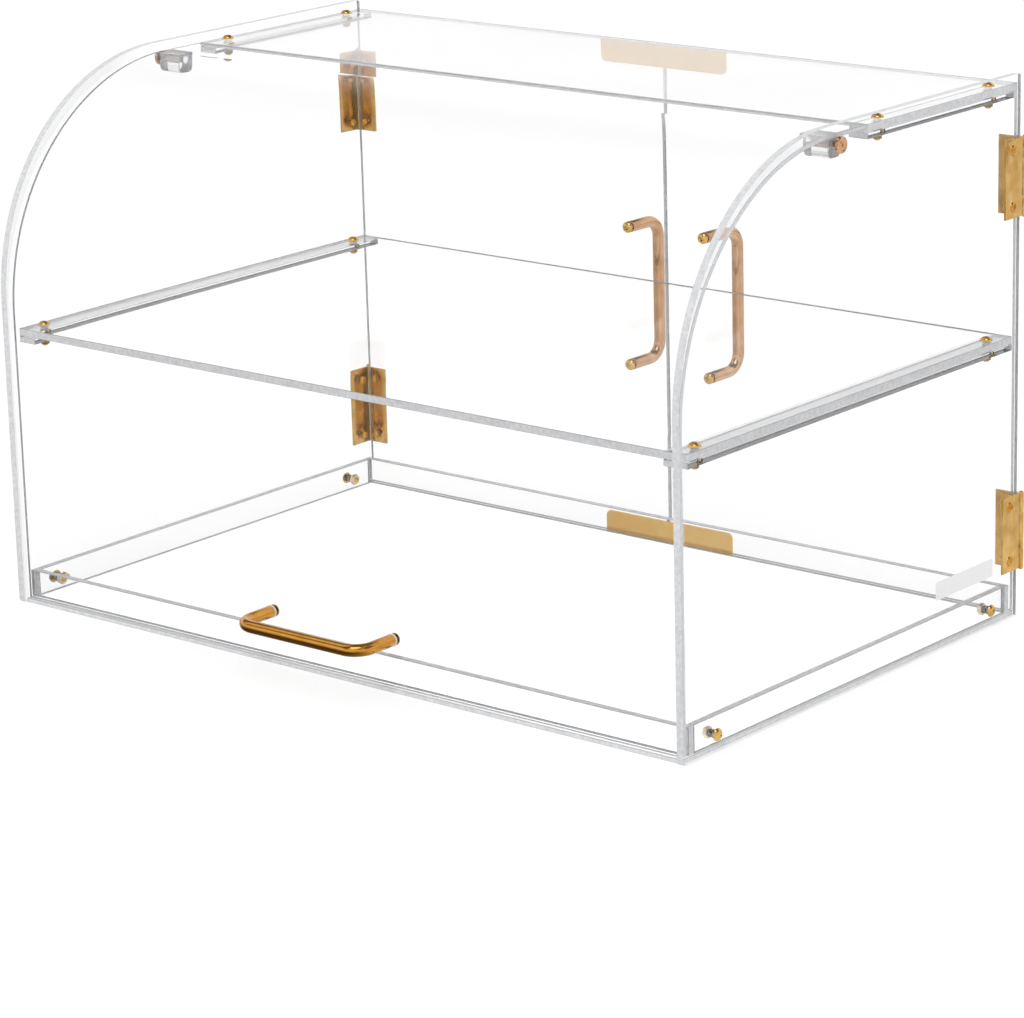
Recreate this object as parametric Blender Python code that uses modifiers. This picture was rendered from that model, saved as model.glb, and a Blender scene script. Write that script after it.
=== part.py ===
"""A clear acrylic countertop display case with a shelf, a flip-up curved front and two rear doors.

Lengths are in metres. X runs across the case, Y from its front to its rear, and Z up.
The origin is on the table, under the middle of the case.
"""
import math

import bmesh
import bpy
from mathutils import Matrix, Vector

# The case
CASE_WIDTH = 0.559
CASE_DEPTH = 0.356
CASE_HEIGHT = 0.356
NOSE_RADIUS = 0.150
SIDE_THICKNESS = 0.005
SIDE_CORNER_RADIUS = 0.002
SEAT_GAP = 0.0003

# The floor and the low walls of the tray that stands on it
BASE_THICKNESS = 0.003
BASE_FRONT_INSET = 0.002
TRAY_THICKNESS = 0.005
TRAY_HEIGHT = 0.018
TRAY_FRONT_CLEARANCE = 0.0015

# The top panel, the shelf and the rails that carry them
TOP_INSET = 0.006
TOP_THICKNESS = 0.005
SHELF_HEIGHT = 0.187
SHELF_THICKNESS = 0.005
SHELF_FRONT_CLEARANCE = 0.004
RAIL_WIDTH = 0.014
RAIL_THICKNESS = 0.004
REAR_CLEARANCE = 0.0005

# The curved front cover and its pivots
COVER_FRONT_INSET = 0.004
COVER_BEND_RADIUS = 0.152
COVER_THICKNESS = 0.003
COVER_SIDE_CLEARANCE = 0.001
PIVOT_SETBACK = 0.003
PIVOT_DROP = 0.0065
LIP_REACH = 0.032
LIP_CLEARANCE = 0.0008
BLOCK_WIDTH = 0.013
BLOCK_HEIGHT = 0.0115
BLOCK_CORNER_RADIUS = 0.004
BLOCK_LENGTH = 0.018

# The two rear doors and the plates that they close against
DOOR_THICKNESS = 0.003
DOOR_CLEARANCE = 0.0005
DOOR_SEAM = 0.0015
STOP_WIDTH = 0.105
STOP_HEIGHT = 0.015
STOP_THICKNESS = 0.0014
STOP_CORNER_RADIUS = 0.004

# The handles, all bent from one round bar
HANDLE_PITCH = 0.1016
HANDLE_RADIUS = 0.004
HANDLE_PROJECTION = 0.0315
HANDLE_BEND_RADIUS = 0.012
HANDLE_BORE_DEPTH = 0.010
FRONT_HANDLE_HEIGHT = 0.034
DOOR_HANDLE_HEIGHT = 0.171
DOOR_HANDLE_OFFSET = 0.032

# The hinges
HINGE_INSET = 0.054
LEAF_HEIGHT = 0.0508
LEAF_REACH = 0.0205
LEAF_THICKNESS = 0.0014
KNUCKLE_RADIUS = 0.0018
KNUCKLE_HEIGHT = 0.0246
PIN_RADIUS = 0.0009
PIN_HEAD_RADIUS = 0.0014
PIN_HEAD_HEIGHT = 0.0006
HINGE_SCREW_PITCH = 0.0365
HINGE_SCREW_SETBACK = 0.0125
HINGE_HOLE_RADIUS = 0.0016

# The screws and nuts
SHANK_RADIUS = 0.002
SCREW_TIP = 0.001
HEAD_RADIUS = 0.004
HEAD_HEIGHT = 0.0026
NUT_RADIUS = 0.004
NUT_HEIGHT = 0.003
PIVOT_HEAD_RADIUS = 0.00525
PIVOT_HEAD_HEIGHT = 0.0025
PIVOT_POINT_LENGTH = 0.004
PIVOT_SCREW_DEPTH = 0.016
PIVOT_DIMPLE_RADIUS = 0.003
PIVOT_DIMPLE_DEPTH = 0.0008
SCREW_REAR_INSET = 0.019
SHELF_SCREW_FRONT_INSET = 0.016
TOP_SCREW_FRONT_INSET = 0.020
TRAY_SCREW_FRONT_INSET = 0.024
TRAY_SCREW_REAR_INSET = 0.025
TRAY_SCREW_HEIGHT = 0.0075

# Counts of facets
NOSE_STEPS = 32
CORNER_STEPS = 4
HOLE_SIDES = 12
EYE_STEPS = 18
BEND_STEPS = 8
BAR_RESOLUTION = 6
TURNED_STEPS = 14
DOME_STEPS = 4
NUT_SIDES = 6

# How far a cutter reaches past what it cuts
OVERRUN = 0.001
MERGE_DISTANCE = 0.00001

# Planes and heights that the pieces share
OUTER_X = CASE_WIDTH / 2
INNER_X = OUTER_X - SIDE_THICKNESS
SEATED_X = INNER_X - SEAT_GAP
FRONT_Y = -CASE_DEPTH / 2
REAR_Y = CASE_DEPTH / 2
NOSE_CENTRE_Y = FRONT_Y + NOSE_RADIUS
NOSE_CENTRE_Z = CASE_HEIGHT - NOSE_RADIUS
TOP_Z = CASE_HEIGHT - TOP_INSET
FLOOR_Z = BASE_THICKNESS + SEAT_GAP
BASE_FRONT_Y = FRONT_Y + BASE_FRONT_INSET

COVER_FRONT_Y = FRONT_Y + COVER_FRONT_INSET
COVER_INNER_Y = COVER_FRONT_Y + COVER_THICKNESS
COVER_CENTRE_Y = COVER_FRONT_Y + COVER_BEND_RADIUS
COVER_CENTRE_Z = TOP_Z - COVER_BEND_RADIUS
COVER_WIDTH = 2 * (INNER_X - COVER_SIDE_CLEARANCE)
PIVOT_Y = COVER_CENTRE_Y + PIVOT_SETBACK
PIVOT_Z = TOP_Z - PIVOT_DROP
BLOCK_TOP_Z = TOP_Z - COVER_THICKNESS - SEAT_GAP

DOOR_INNER_Y = REAR_Y - DOOR_THICKNESS
DOOR_BOTTOM_Z = BASE_THICKNESS + DOOR_CLEARANCE
DOOR_TOP_Z = TOP_Z - TOP_THICKNESS - DOOR_CLEARANCE
DOOR_EDGE_X = INNER_X - DOOR_CLEARANCE
STOP_REAR_Y = DOOR_INNER_Y - SEAT_GAP
STOP_FRONT_Y = STOP_REAR_Y - STOP_THICKNESS
HINGE_X = OUTER_X + SEAT_GAP + KNUCKLE_RADIUS
HINGE_Y = REAR_Y + SEAT_GAP + KNUCKLE_RADIUS
HINGE_HEIGHTS = {"lower": DOOR_BOTTOM_Z + HINGE_INSET, "upper": DOOR_TOP_Z - HINGE_INSET}
HINGE_SCREW_OFFSETS = (-HINGE_SCREW_PITCH / 2, HINGE_SCREW_PITCH / 2)

TOP_FRONT_Y = PIVOT_Y + math.hypot(LIP_REACH, PIVOT_DROP) + LIP_CLEARANCE
SHELF_FRONT_Y = COVER_INNER_Y + SHELF_FRONT_CLEARANCE
RAIL_REAR_Y = DOOR_INNER_Y - REAR_CLEARANCE
RAIL_X = SEATED_X - RAIL_WIDTH / 2
TRAY_FRONT_Y = COVER_INNER_Y + TRAY_FRONT_CLEARANCE
TRAY_REAR_Y = STOP_FRONT_Y - SEAT_GAP
TRAY_SCREW_Z = FLOOR_Z + TRAY_SCREW_HEIGHT
TRAY_SCREW_PLACES = {
    "front": TRAY_FRONT_Y + TRAY_SCREW_FRONT_INSET,
    "rear": TRAY_REAR_Y - TRAY_SCREW_REAR_INSET,
}
SHELF_SCREW_PLACES = {
    "front": SHELF_FRONT_Y + SHELF_SCREW_FRONT_INSET,
    "rear": RAIL_REAR_Y - SCREW_REAR_INSET,
}
TOP_SCREW_PLACES = {
    "front": TOP_FRONT_Y + TOP_SCREW_FRONT_INSET,
    "rear": RAIL_REAR_Y - SCREW_REAR_INSET,
}
SCREW_HOLE_RADIUS = SHANK_RADIUS + SEAT_GAP
HANDLE_FEET = (-HANDLE_PITCH / 2, HANDLE_PITCH / 2)

SIDES = {"left": -1, "right": 1}

# Turns that lay an outline, drawn across and up, into the case
FACING_SIDE = (math.radians(90), 0, math.radians(90))
FACING_FRONT = (math.radians(90), 0, 0)
LYING = (0, 0, 0)

# Turns that point a screw's head, drawn upward, in its own direction
HEAD_TO_SIDE = {"left": (0, math.radians(-90), 0), "right": (0, math.radians(90), 0)}
HEAD_TO_REAR = (math.radians(-90), 0, 0)
HEAD_TO_FRONT = (math.radians(90), 0, 0)

# Colour, roughness, metallic value and transmission of each finish
CLEAR_ACRYLIC = ((0.93, 0.95, 0.96, 1), 0.03, 0, 1)
GOLD = ((0.72, 0.45, 0.15, 1), 0.15, 1, 0)
ROSE_GOLD = ((0.74, 0.45, 0.34, 1), 0.2, 1, 0)
SATIN_BRASS = ((0.70, 0.52, 0.26, 1), 0.3, 1, 0)


def cleared_collections():
    """Empties the scene, and gives the collections for the parts and for the hidden cutters."""
    for obj in list(bpy.data.objects):
        bpy.data.objects.remove(obj, do_unlink=True)
    made = []
    for name in ("display_case", "cutters"):
        collection = bpy.data.collections.new(name)
        bpy.context.scene.collection.children.link(collection)
        made.append(collection)
    made[1].hide_render = True
    return made


PARTS, CUTTERS = cleared_collections()


def finished(obj, finish):
    """Gives a piece its own material."""
    colour, roughness, metallic, transmission = finish
    material = bpy.data.materials.new(obj.name + "_material")
    material.use_nodes = True
    inputs = material.node_tree.nodes["Principled BSDF"].inputs
    inputs["Base Color"].default_value = colour
    inputs["Roughness"].default_value = roughness
    inputs["Metallic"].default_value = metallic
    inputs["Transmission Weight"].default_value = transmission
    material.diffuse_color = colour
    obj.data.materials.clear()
    obj.data.materials.append(material)
    return obj


def new_object(name, data, location=(0, 0, 0), rotation=(0, 0, 0)):
    """A piece in the case's collection."""
    obj = bpy.data.objects.new(name, data)
    obj.location = location
    obj.rotation_euler = rotation
    PARTS.objects.link(obj)
    return obj


def arc(centre, radius, start, end, steps):
    """Points on an arc between two angles in degrees, both ends included."""
    turns = [math.radians(start + (end - start) * step / steps) for step in range(steps + 1)]
    return [(centre[0] + radius * math.cos(turn), centre[1] + radius * math.sin(turn)) for turn in turns]


def circle(centre, radius, sides=HOLE_SIDES):
    """The corners of a regular polygon that stands for a circle."""
    return arc(centre, radius, 0, 360, sides)[:-1]


def rectangle(low, high):
    """The corners of a rectangle between two opposite corners."""
    return [low, (high[0], low[1]), high, (low[0], high[1])]


def flat_curve(name, outlines, thickness):
    """A filled 2D curve: the first outline is the piece's edge and the others are holes in it."""
    curve = bpy.data.curves.new(name, "CURVE")
    curve.dimensions = "2D"
    curve.fill_mode = "BOTH"
    curve.extrude = thickness / 2
    for outline in outlines:
        spline = curve.splines.new("POLY")
        spline.points.add(len(outline) - 1)
        for point, place in zip(spline.points, outline):
            point.co = (*place, 0, 1)
        spline.use_cyclic_u = True
    return curve


def sheet(name, outlines, thickness, location, rotation, finish):
    """A flat piece. Its location is the middle of its thickness."""
    obj = new_object(name, flat_curve(name, outlines, thickness), location, rotation)
    return finished(obj, finish)


def as_mesh(obj):
    """Turns an object with its modifiers into a plain mesh object of the same name."""
    graph = bpy.context.evaluated_depsgraph_get()
    mesh = bpy.data.meshes.new_from_object(obj.evaluated_get(graph))
    welded = bmesh.new()
    welded.from_mesh(mesh)
    bmesh.ops.remove_doubles(welded, verts=welded.verts, dist=MERGE_DISTANCE)
    welded.to_mesh(mesh)
    welded.free()
    name = obj.name
    place = obj.matrix_world.copy()
    bpy.data.objects.remove(obj, do_unlink=True)
    solid = new_object(name, mesh)
    solid.matrix_world = place
    return solid


def smooth(mesh):
    """Shades a round piece smooth, and keeps its sharp edges."""
    mesh.shade_smooth()
    mesh.set_sharp_from_angle(angle=math.radians(35))


def as_cutter(obj):
    """Moves the object that was just added to the hidden cutters."""
    for collection in obj.users_collection:
        collection.objects.unlink(obj)
    CUTTERS.objects.link(obj)
    obj.hide_render = True
    obj.display_type = "WIRE"
    return obj


def cylinder_cutter(name, radius, length, location, rotation):
    """A round cutter centred on its location."""
    bpy.ops.mesh.primitive_cylinder_add(
        vertices=HOLE_SIDES, radius=radius, depth=length, location=location, rotation=rotation)
    cutter = bpy.context.active_object
    cutter.name = name
    return as_cutter(cutter)


def box_cutter(name, low, high):
    """A box cutter between two opposite corners."""
    middle = (Vector(low) + Vector(high)) / 2
    bpy.ops.mesh.primitive_cube_add(size=1, location=middle)
    cutter = bpy.context.active_object
    cutter.name = name
    cutter.scale = Vector(high) - Vector(low)
    bpy.ops.object.transform_apply(location=False, rotation=False, scale=True)
    return as_cutter(cutter)


def cut(obj, cutter, operation="DIFFERENCE"):
    """Adds an exact Boolean to a piece."""
    modifier = obj.modifiers.new(cutter.name, "BOOLEAN")
    modifier.operation = operation
    modifier.object = cutter
    modifier.solver = "EXACT"


def turned(name, profile):
    """A turned mesh about Z. Its profile runs from the top of the axis down the outside to the axis."""
    mesh = bpy.data.meshes.new(name)
    drawn = bmesh.new()
    points = [drawn.verts.new((radius, 0, height)) for radius, height in profile]
    for pair in zip(points, points[1:]):
        drawn.edges.new(pair)
    drawn.to_mesh(mesh)
    drawn.free()
    obj = new_object(name, mesh)
    screw = obj.modifiers.new("turn", "SCREW")
    screw.steps = TURNED_STEPS
    screw.render_steps = TURNED_STEPS
    screw.use_merge_vertices = True
    screw.merge_threshold = MERGE_DISTANCE
    return obj


def dome(radius, height):
    """Half the outline of a domed head that stands on height zero, from its top down to its rim."""
    quarter = arc((0, 0), 1, 90, 0, DOME_STEPS)
    return [(radius * across, height * up) for across, up in quarter]


def stack(*layers):
    """The length of a screw's shank through some layers, each with a seat gap before it."""
    return sum(layers) + SEAT_GAP * len(layers)


def screw_profile(head, length):
    """The outline of a screw with its head's underside at height zero."""
    return [
        *head,
        (SHANK_RADIUS, 0),
        (SHANK_RADIUS, SCREW_TIP / 2 - length),
        (SHANK_RADIUS - SCREW_TIP / 2, -length),
        (0, -length),
    ]


def screw_mesh(name, length):
    """The mesh of a screw with a domed head."""
    solid = as_mesh(turned(name, screw_profile(dome(HEAD_RADIUS, HEAD_HEIGHT), length)))
    return plain_mesh(solid)


def plain_mesh(obj):
    """The mesh of a finished pattern object, which is removed."""
    mesh = obj.data
    bpy.data.objects.remove(obj, do_unlink=True)
    smooth(mesh)
    return mesh


def place_copy(name, mesh, location, rotation, finish):
    """One copy of a repeated piece."""
    return finished(new_object(name, mesh.copy(), location, rotation), finish)


def pivot_empty(name, location):
    """An empty on a joint's axis, which carries what turns there."""
    return new_object(name, None, location)


def carried(obj, pivot):
    """Hangs a piece on a pivot and leaves it where it is."""
    obj.parent = pivot
    obj.matrix_parent_inverse = Matrix.Translation(-pivot.location)
    return obj


def side_panels():
    """The two full-height ends of the case, with a quarter-round nose."""
    for side, sign in SIDES.items():
        outline = [
            (REAR_Y, 0),
            *arc((REAR_Y - SIDE_CORNER_RADIUS, CASE_HEIGHT - SIDE_CORNER_RADIUS), SIDE_CORNER_RADIUS,
                 0, 90, CORNER_STEPS),
            *arc((NOSE_CENTRE_Y, NOSE_CENTRE_Z), NOSE_RADIUS, 90, 180, NOSE_STEPS),
            *arc((FRONT_Y + SIDE_CORNER_RADIUS, SIDE_CORNER_RADIUS), SIDE_CORNER_RADIUS,
                 180, 270, CORNER_STEPS),
        ]
        holes = [circle((PIVOT_Y, PIVOT_Z), SCREW_HOLE_RADIUS)]
        for y in TRAY_SCREW_PLACES.values():
            holes.append(circle((y, TRAY_SCREW_Z), SCREW_HOLE_RADIUS))
        for height in HINGE_HEIGHTS.values():
            for offset in HINGE_SCREW_OFFSETS:
                holes.append(circle((HINGE_Y - HINGE_SCREW_SETBACK, height + offset), HINGE_HOLE_RADIUS))
        middle = (sign * (OUTER_X + INNER_X) / 2, 0, 0)
        sheet("side_panel_" + side, [outline, *holes], SIDE_THICKNESS, middle, FACING_SIDE, CLEAR_ACRYLIC)


def base_plate():
    """The floor of the case. The front cover and the doors stand just above its margins."""
    outline = rectangle((-SEATED_X, BASE_FRONT_Y), (SEATED_X, REAR_Y))
    sheet("base_plate", [outline], BASE_THICKNESS, (0, 0, BASE_THICKNESS / 2), LYING, CLEAR_ACRYLIC)


def tray_walls():
    """The low frame that stands on the floor and ties it to the side panels."""
    top = FLOOR_Z + TRAY_HEIGHT
    across = rectangle((-SEATED_X, FLOOR_Z), (SEATED_X, top))
    front_middle = TRAY_FRONT_Y + TRAY_THICKNESS / 2
    rear_middle = TRAY_REAR_Y - TRAY_THICKNESS / 2
    sheet("tray_wall_front", [across], TRAY_THICKNESS, (0, front_middle, 0), FACING_FRONT, CLEAR_ACRYLIC)
    sheet("tray_wall_rear", [across], TRAY_THICKNESS, (0, rear_middle, 0), FACING_FRONT, CLEAR_ACRYLIC)
    inset = TRAY_THICKNESS + SEAT_GAP
    along = rectangle((TRAY_FRONT_Y + inset, FLOOR_Z), (TRAY_REAR_Y - inset, top))
    holes = [circle((y, TRAY_SCREW_Z), SCREW_HOLE_RADIUS) for y in TRAY_SCREW_PLACES.values()]
    for side, sign in SIDES.items():
        middle = (sign * (SEATED_X - TRAY_THICKNESS / 2), 0, 0)
        sheet("tray_wall_" + side, [along, *holes], TRAY_THICKNESS, middle, FACING_SIDE, CLEAR_ACRYLIC)


def tray_fasteners():
    """The screws through each side panel and tray wall, with a nut on each inside."""
    length = stack(SIDE_THICKNESS, TRAY_THICKNESS, NUT_HEIGHT) + SCREW_TIP
    mesh = screw_mesh("tray_screw", length)
    nut_middle = SEATED_X - TRAY_THICKNESS - SEAT_GAP - NUT_HEIGHT / 2
    nut_outlines = [circle((0, 0), NUT_RADIUS, NUT_SIDES), circle((0, 0), SCREW_HOLE_RADIUS)]
    for side, sign in SIDES.items():
        for end, y in TRAY_SCREW_PLACES.items():
            name = side + "_" + end
            head_place = (sign * (OUTER_X + SEAT_GAP), y, TRAY_SCREW_Z)
            place_copy("tray_screw_" + name, mesh, head_place, HEAD_TO_SIDE[side], GOLD)
            nut_place = (sign * nut_middle, y, TRAY_SCREW_Z)
            sheet("tray_nut_" + name, nut_outlines, NUT_HEIGHT, nut_place, FACING_SIDE, GOLD)


def decks():
    """The top panel and the shelf. Each lies on two rails along the side panels, clamped by screws."""
    levels = [
        ("top_panel", "top", TOP_Z, TOP_THICKNESS, TOP_FRONT_Y, REAR_Y, TOP_SCREW_PLACES),
        ("shelf", "shelf", SHELF_HEIGHT, SHELF_THICKNESS, SHELF_FRONT_Y, RAIL_REAR_Y, SHELF_SCREW_PLACES),
    ]
    for name, prefix, height, thickness, front, rear, places in levels:
        outline = rectangle((-SEATED_X, front), (SEATED_X, rear))
        holes = []
        for sign in SIDES.values():
            for y in places.values():
                holes.append(circle((sign * RAIL_X, y), SCREW_HOLE_RADIUS))
        sheet(name, [outline, *holes], thickness, (0, 0, height - thickness / 2), LYING, CLEAR_ACRYLIC)
        rail_top = height - thickness - SEAT_GAP
        rails(prefix, rail_top, front, places)
        clamp_screws(prefix, height, thickness, places)


def rails(prefix, rail_top, front, places):
    """The two flat strips under a deck, glued to the side panels."""
    outline = rectangle((-RAIL_WIDTH / 2, front), (RAIL_WIDTH / 2, RAIL_REAR_Y))
    holes = [circle((0, y), SCREW_HOLE_RADIUS) for y in places.values()]
    for side, sign in SIDES.items():
        middle = (sign * RAIL_X, 0, rail_top - RAIL_THICKNESS / 2)
        sheet(prefix + "_rail_" + side, [outline, *holes], RAIL_THICKNESS, middle, LYING, CLEAR_ACRYLIC)


def clamp_screws(prefix, height, thickness, places):
    """The screws through a deck and its rails. Each has its nut joined to it."""
    nut_top = -stack(thickness, RAIL_THICKNESS) - SEAT_GAP
    length = -nut_top + NUT_HEIGHT + SCREW_TIP
    pattern = turned(prefix + "_screw", screw_profile(dome(HEAD_RADIUS, HEAD_HEIGHT), length))
    nut_outline = circle((0, 0), NUT_RADIUS, NUT_SIDES)
    nut = as_mesh(new_object(prefix + "_nut", flat_curve(prefix + "_nut", [nut_outline], NUT_HEIGHT)))
    nut.location = (0, 0, nut_top - NUT_HEIGHT / 2)
    cut(pattern, as_cutter(nut), "UNION")
    bpy.context.view_layer.update()
    mesh = plain_mesh(as_mesh(pattern))
    for side, sign in SIDES.items():
        for end, y in places.items():
            name = prefix + "_screw_" + side + "_" + end
            place_copy(name, mesh, (sign * RAIL_X, y, height + SEAT_GAP), LYING, GOLD)


def cover_profile():
    """The outer face of the bent front cover in section: up the front, round the nose and back over it."""
    return [
        (COVER_FRONT_Y, FLOOR_Z),
        *arc((COVER_CENTRE_Y, COVER_CENTRE_Z), COVER_BEND_RADIUS, 180, 90, NOSE_STEPS),
        (PIVOT_Y + LIP_REACH, TOP_Z),
    ]


def front_cover(pivot):
    """The bent sheet that closes the front. It is drilled for its handle."""
    drawn = bmesh.new()
    points = [drawn.verts.new((-COVER_WIDTH / 2, y, z)) for y, z in cover_profile()]
    edges = [drawn.edges.new(pair) for pair in zip(points, points[1:])]
    swept = bmesh.ops.extrude_edge_only(drawn, edges=edges)
    far_side = [item for item in swept["geom"] if isinstance(item, bmesh.types.BMVert)]
    bmesh.ops.translate(drawn, verts=far_side, vec=(COVER_WIDTH, 0, 0))
    drawn.normal_update()
    drawn.faces.ensure_lookup_table()
    if drawn.faces[0].normal.y > 0:
        bmesh.ops.reverse_faces(drawn, faces=drawn.faces)
    mesh = bpy.data.meshes.new("front_cover")
    drawn.to_mesh(mesh)
    drawn.free()
    smooth(mesh)
    cover = finished(new_object("front_cover", mesh), CLEAR_ACRYLIC)
    shell = cover.modifiers.new("thickness", "SOLIDIFY")
    shell.thickness = COVER_THICKNESS
    shell.offset = -1
    shell.use_even_offset = True
    for x in HANDLE_FEET:
        place = (x, COVER_FRONT_Y + COVER_THICKNESS / 2, FRONT_HANDLE_HEIGHT)
        length = COVER_THICKNESS + 2 * OVERRUN
        cut(cover, cylinder_cutter("cover_hole_cutter", SCREW_HOLE_RADIUS, length, place, FACING_FRONT))
    carried(cover, pivot)


def pivot_blocks(pivot):
    """The two blocks glued under the cover, and the screws in the side panels they turn on."""
    front = PIVOT_Y - BLOCK_WIDTH / 2
    rear = PIVOT_Y + BLOCK_WIDTH / 2
    corner_z = BLOCK_TOP_Z - BLOCK_HEIGHT + BLOCK_CORNER_RADIUS
    outline = [
        (rear, BLOCK_TOP_Z),
        (front, BLOCK_TOP_Z),
        *arc((front + BLOCK_CORNER_RADIUS, corner_z), BLOCK_CORNER_RADIUS, 180, 270, CORNER_STEPS),
        *arc((rear - BLOCK_CORNER_RADIUS, corner_z), BLOCK_CORNER_RADIUS, 270, 360, CORNER_STEPS),
    ]
    hole = circle((PIVOT_Y, PIVOT_Z), SCREW_HOLE_RADIUS)
    outer_end = COVER_WIDTH / 2
    length = stack(SIDE_THICKNESS) + COVER_SIDE_CLEARANCE + PIVOT_SCREW_DEPTH
    mesh = plain_mesh(as_mesh(turned("pivot_screw", pivot_screw_profile(length))))
    for side, sign in SIDES.items():
        middle = (sign * (outer_end - BLOCK_LENGTH / 2), 0, 0)
        name = "pivot_block_" + side
        carried(sheet(name, [outline, hole], BLOCK_LENGTH, middle, FACING_SIDE, CLEAR_ACRYLIC), pivot)
        place = (sign * (OUTER_X + SEAT_GAP), PIVOT_Y, PIVOT_Z)
        carried(place_copy("pivot_screw_" + side, mesh, place, HEAD_TO_SIDE[side], ROSE_GOLD), pivot)


def pivot_screw_profile(length):
    """A flat round head with a shallow dimple, a plain shank and a pointed end."""
    return [
        (0, PIVOT_HEAD_HEIGHT - PIVOT_DIMPLE_DEPTH),
        (PIVOT_DIMPLE_RADIUS, PIVOT_HEAD_HEIGHT - PIVOT_DIMPLE_DEPTH),
        (PIVOT_DIMPLE_RADIUS, PIVOT_HEAD_HEIGHT),
        (PIVOT_HEAD_RADIUS, PIVOT_HEAD_HEIGHT),
        (PIVOT_HEAD_RADIUS, 0),
        (SHANK_RADIUS, 0),
        (SHANK_RADIUS, PIVOT_POINT_LENGTH - length),
        (0, -length),
    ]


def handle_mesh():
    """A bar bent twice, with its feet on height zero and a bore in each foot."""
    curve = bpy.data.curves.new("handle", "CURVE")
    curve.dimensions = "3D"
    curve.bevel_depth = HANDLE_RADIUS
    curve.bevel_resolution = BAR_RESOLUTION
    curve.use_fill_caps = True
    near, far = HANDLE_FEET
    bend_height = HANDLE_PROJECTION - HANDLE_BEND_RADIUS
    route = [
        (near, 0),
        *arc((near + HANDLE_BEND_RADIUS, bend_height), HANDLE_BEND_RADIUS, 180, 90, BEND_STEPS),
        *arc((far - HANDLE_BEND_RADIUS, bend_height), HANDLE_BEND_RADIUS, 90, 0, BEND_STEPS),
        (far, 0),
    ]
    spline = curve.splines.new("POLY")
    spline.points.add(len(route) - 1)
    for point, (across, up) in zip(spline.points, route):
        point.co = (across, 0, up, 1)
    bar = as_mesh(new_object("handle", curve))
    for x in HANDLE_FEET:
        middle = (x, 0, (HANDLE_BORE_DEPTH - OVERRUN) / 2)
        length = HANDLE_BORE_DEPTH + OVERRUN
        cut(bar, cylinder_cutter("bore_cutter", SCREW_HOLE_RADIUS, length, middle, LYING))
    bpy.context.view_layer.update()
    return plain_mesh(as_mesh(bar))


def front_handle(mesh, screw, pivot):
    """The handle across the front cover, held by a screw through the cover into each foot."""
    place = (0, COVER_FRONT_Y - SEAT_GAP, FRONT_HANDLE_HEIGHT)
    carried(place_copy("front_handle", mesh, place, FACING_FRONT, GOLD), pivot)
    for side, sign in SIDES.items():
        place = (sign * HANDLE_PITCH / 2, COVER_INNER_Y + SEAT_GAP, FRONT_HANDLE_HEIGHT)
        carried(place_copy("front_handle_screw_" + side, screw, place, HEAD_TO_REAR, GOLD), pivot)


def doors(mesh, screw, hinge):
    """The two rear doors, each with an upright handle by the seam and two hinges on the case's side."""
    upright = (0, math.radians(-90), math.radians(-90))
    for side, sign in SIDES.items():
        pivot = pivot_empty(side + "_door_pivot", (sign * HINGE_X, HINGE_Y, 0))
        handle_x = sign * DOOR_HANDLE_OFFSET
        edges = sorted((sign * DOOR_SEAM / 2, sign * DOOR_EDGE_X))
        outline = rectangle((edges[0], DOOR_BOTTOM_Z), (edges[1], DOOR_TOP_Z))
        holes = [circle((handle_x, DOOR_HANDLE_HEIGHT + foot), SCREW_HOLE_RADIUS) for foot in HANDLE_FEET]
        for height in HINGE_HEIGHTS.values():
            for offset in HINGE_SCREW_OFFSETS:
                place = (sign * (HINGE_X - HINGE_SCREW_SETBACK), height + offset)
                holes.append(circle(place, HINGE_HOLE_RADIUS))
        middle = (0, (DOOR_INNER_Y + REAR_Y) / 2, 0)
        name = "door_" + side
        carried(sheet(name, [outline, *holes], DOOR_THICKNESS, middle, FACING_FRONT, CLEAR_ACRYLIC), pivot)
        place = (handle_x, REAR_Y + SEAT_GAP, DOOR_HANDLE_HEIGHT)
        carried(place_copy("door_handle_" + side, mesh, place, upright, ROSE_GOLD), pivot)
        for end, foot in zip(("lower", "upper"), HANDLE_FEET):
            name = "door_handle_screw_" + side + "_" + end
            place = (handle_x, DOOR_INNER_Y - SEAT_GAP, DOOR_HANDLE_HEIGHT + foot)
            carried(place_copy(name, screw, place, HEAD_TO_FRONT, GOLD), pivot)
        hinges(side, sign, pivot, hinge)


def stop_plates():
    """The two thin plates behind the seam of the doors: one under the top panel, one on the floor."""
    half = STOP_WIDTH / 2
    radius = STOP_CORNER_RADIUS
    top = TOP_Z - TOP_THICKNESS - SEAT_GAP
    lower = [
        (-half, FLOOR_Z),
        (half, FLOOR_Z),
        *arc((half - radius, FLOOR_Z + STOP_HEIGHT - radius), radius, 0, 90, CORNER_STEPS),
        *arc((radius - half, FLOOR_Z + STOP_HEIGHT - radius), radius, 90, 180, CORNER_STEPS),
    ]
    upper = [
        *arc((half - radius, top - STOP_HEIGHT + radius), radius, 270, 360, CORNER_STEPS),
        *arc((half - radius, top - radius), radius, 0, 90, CORNER_STEPS),
        *arc((radius - half, top - radius), radius, 90, 180, CORNER_STEPS),
        *arc((radius - half, top - STOP_HEIGHT + radius), radius, 180, 270, CORNER_STEPS),
    ]
    middle = (0, (STOP_FRONT_Y + STOP_REAR_Y) / 2, 0)
    sheet("stop_plate_lower", [lower], STOP_THICKNESS, middle, FACING_FRONT, GOLD)
    sheet("stop_plate_upper", [upper], STOP_THICKNESS, middle, FACING_FRONT, GOLD)


def leaf_outline():
    """A hinge leaf in plan, about the pin's axis: a plate towards the front that ends in a round eye."""
    inner_x = LEAF_THICKNESS - KNUCKLE_RADIUS
    meeting = math.degrees(math.acos(inner_x / KNUCKLE_RADIUS))
    eye = arc((0, 0), KNUCKLE_RADIUS, 180, -meeting, EYE_STEPS)
    return [(-KNUCKLE_RADIUS, -LEAF_REACH), *eye, (inner_x, -LEAF_REACH)]


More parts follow.
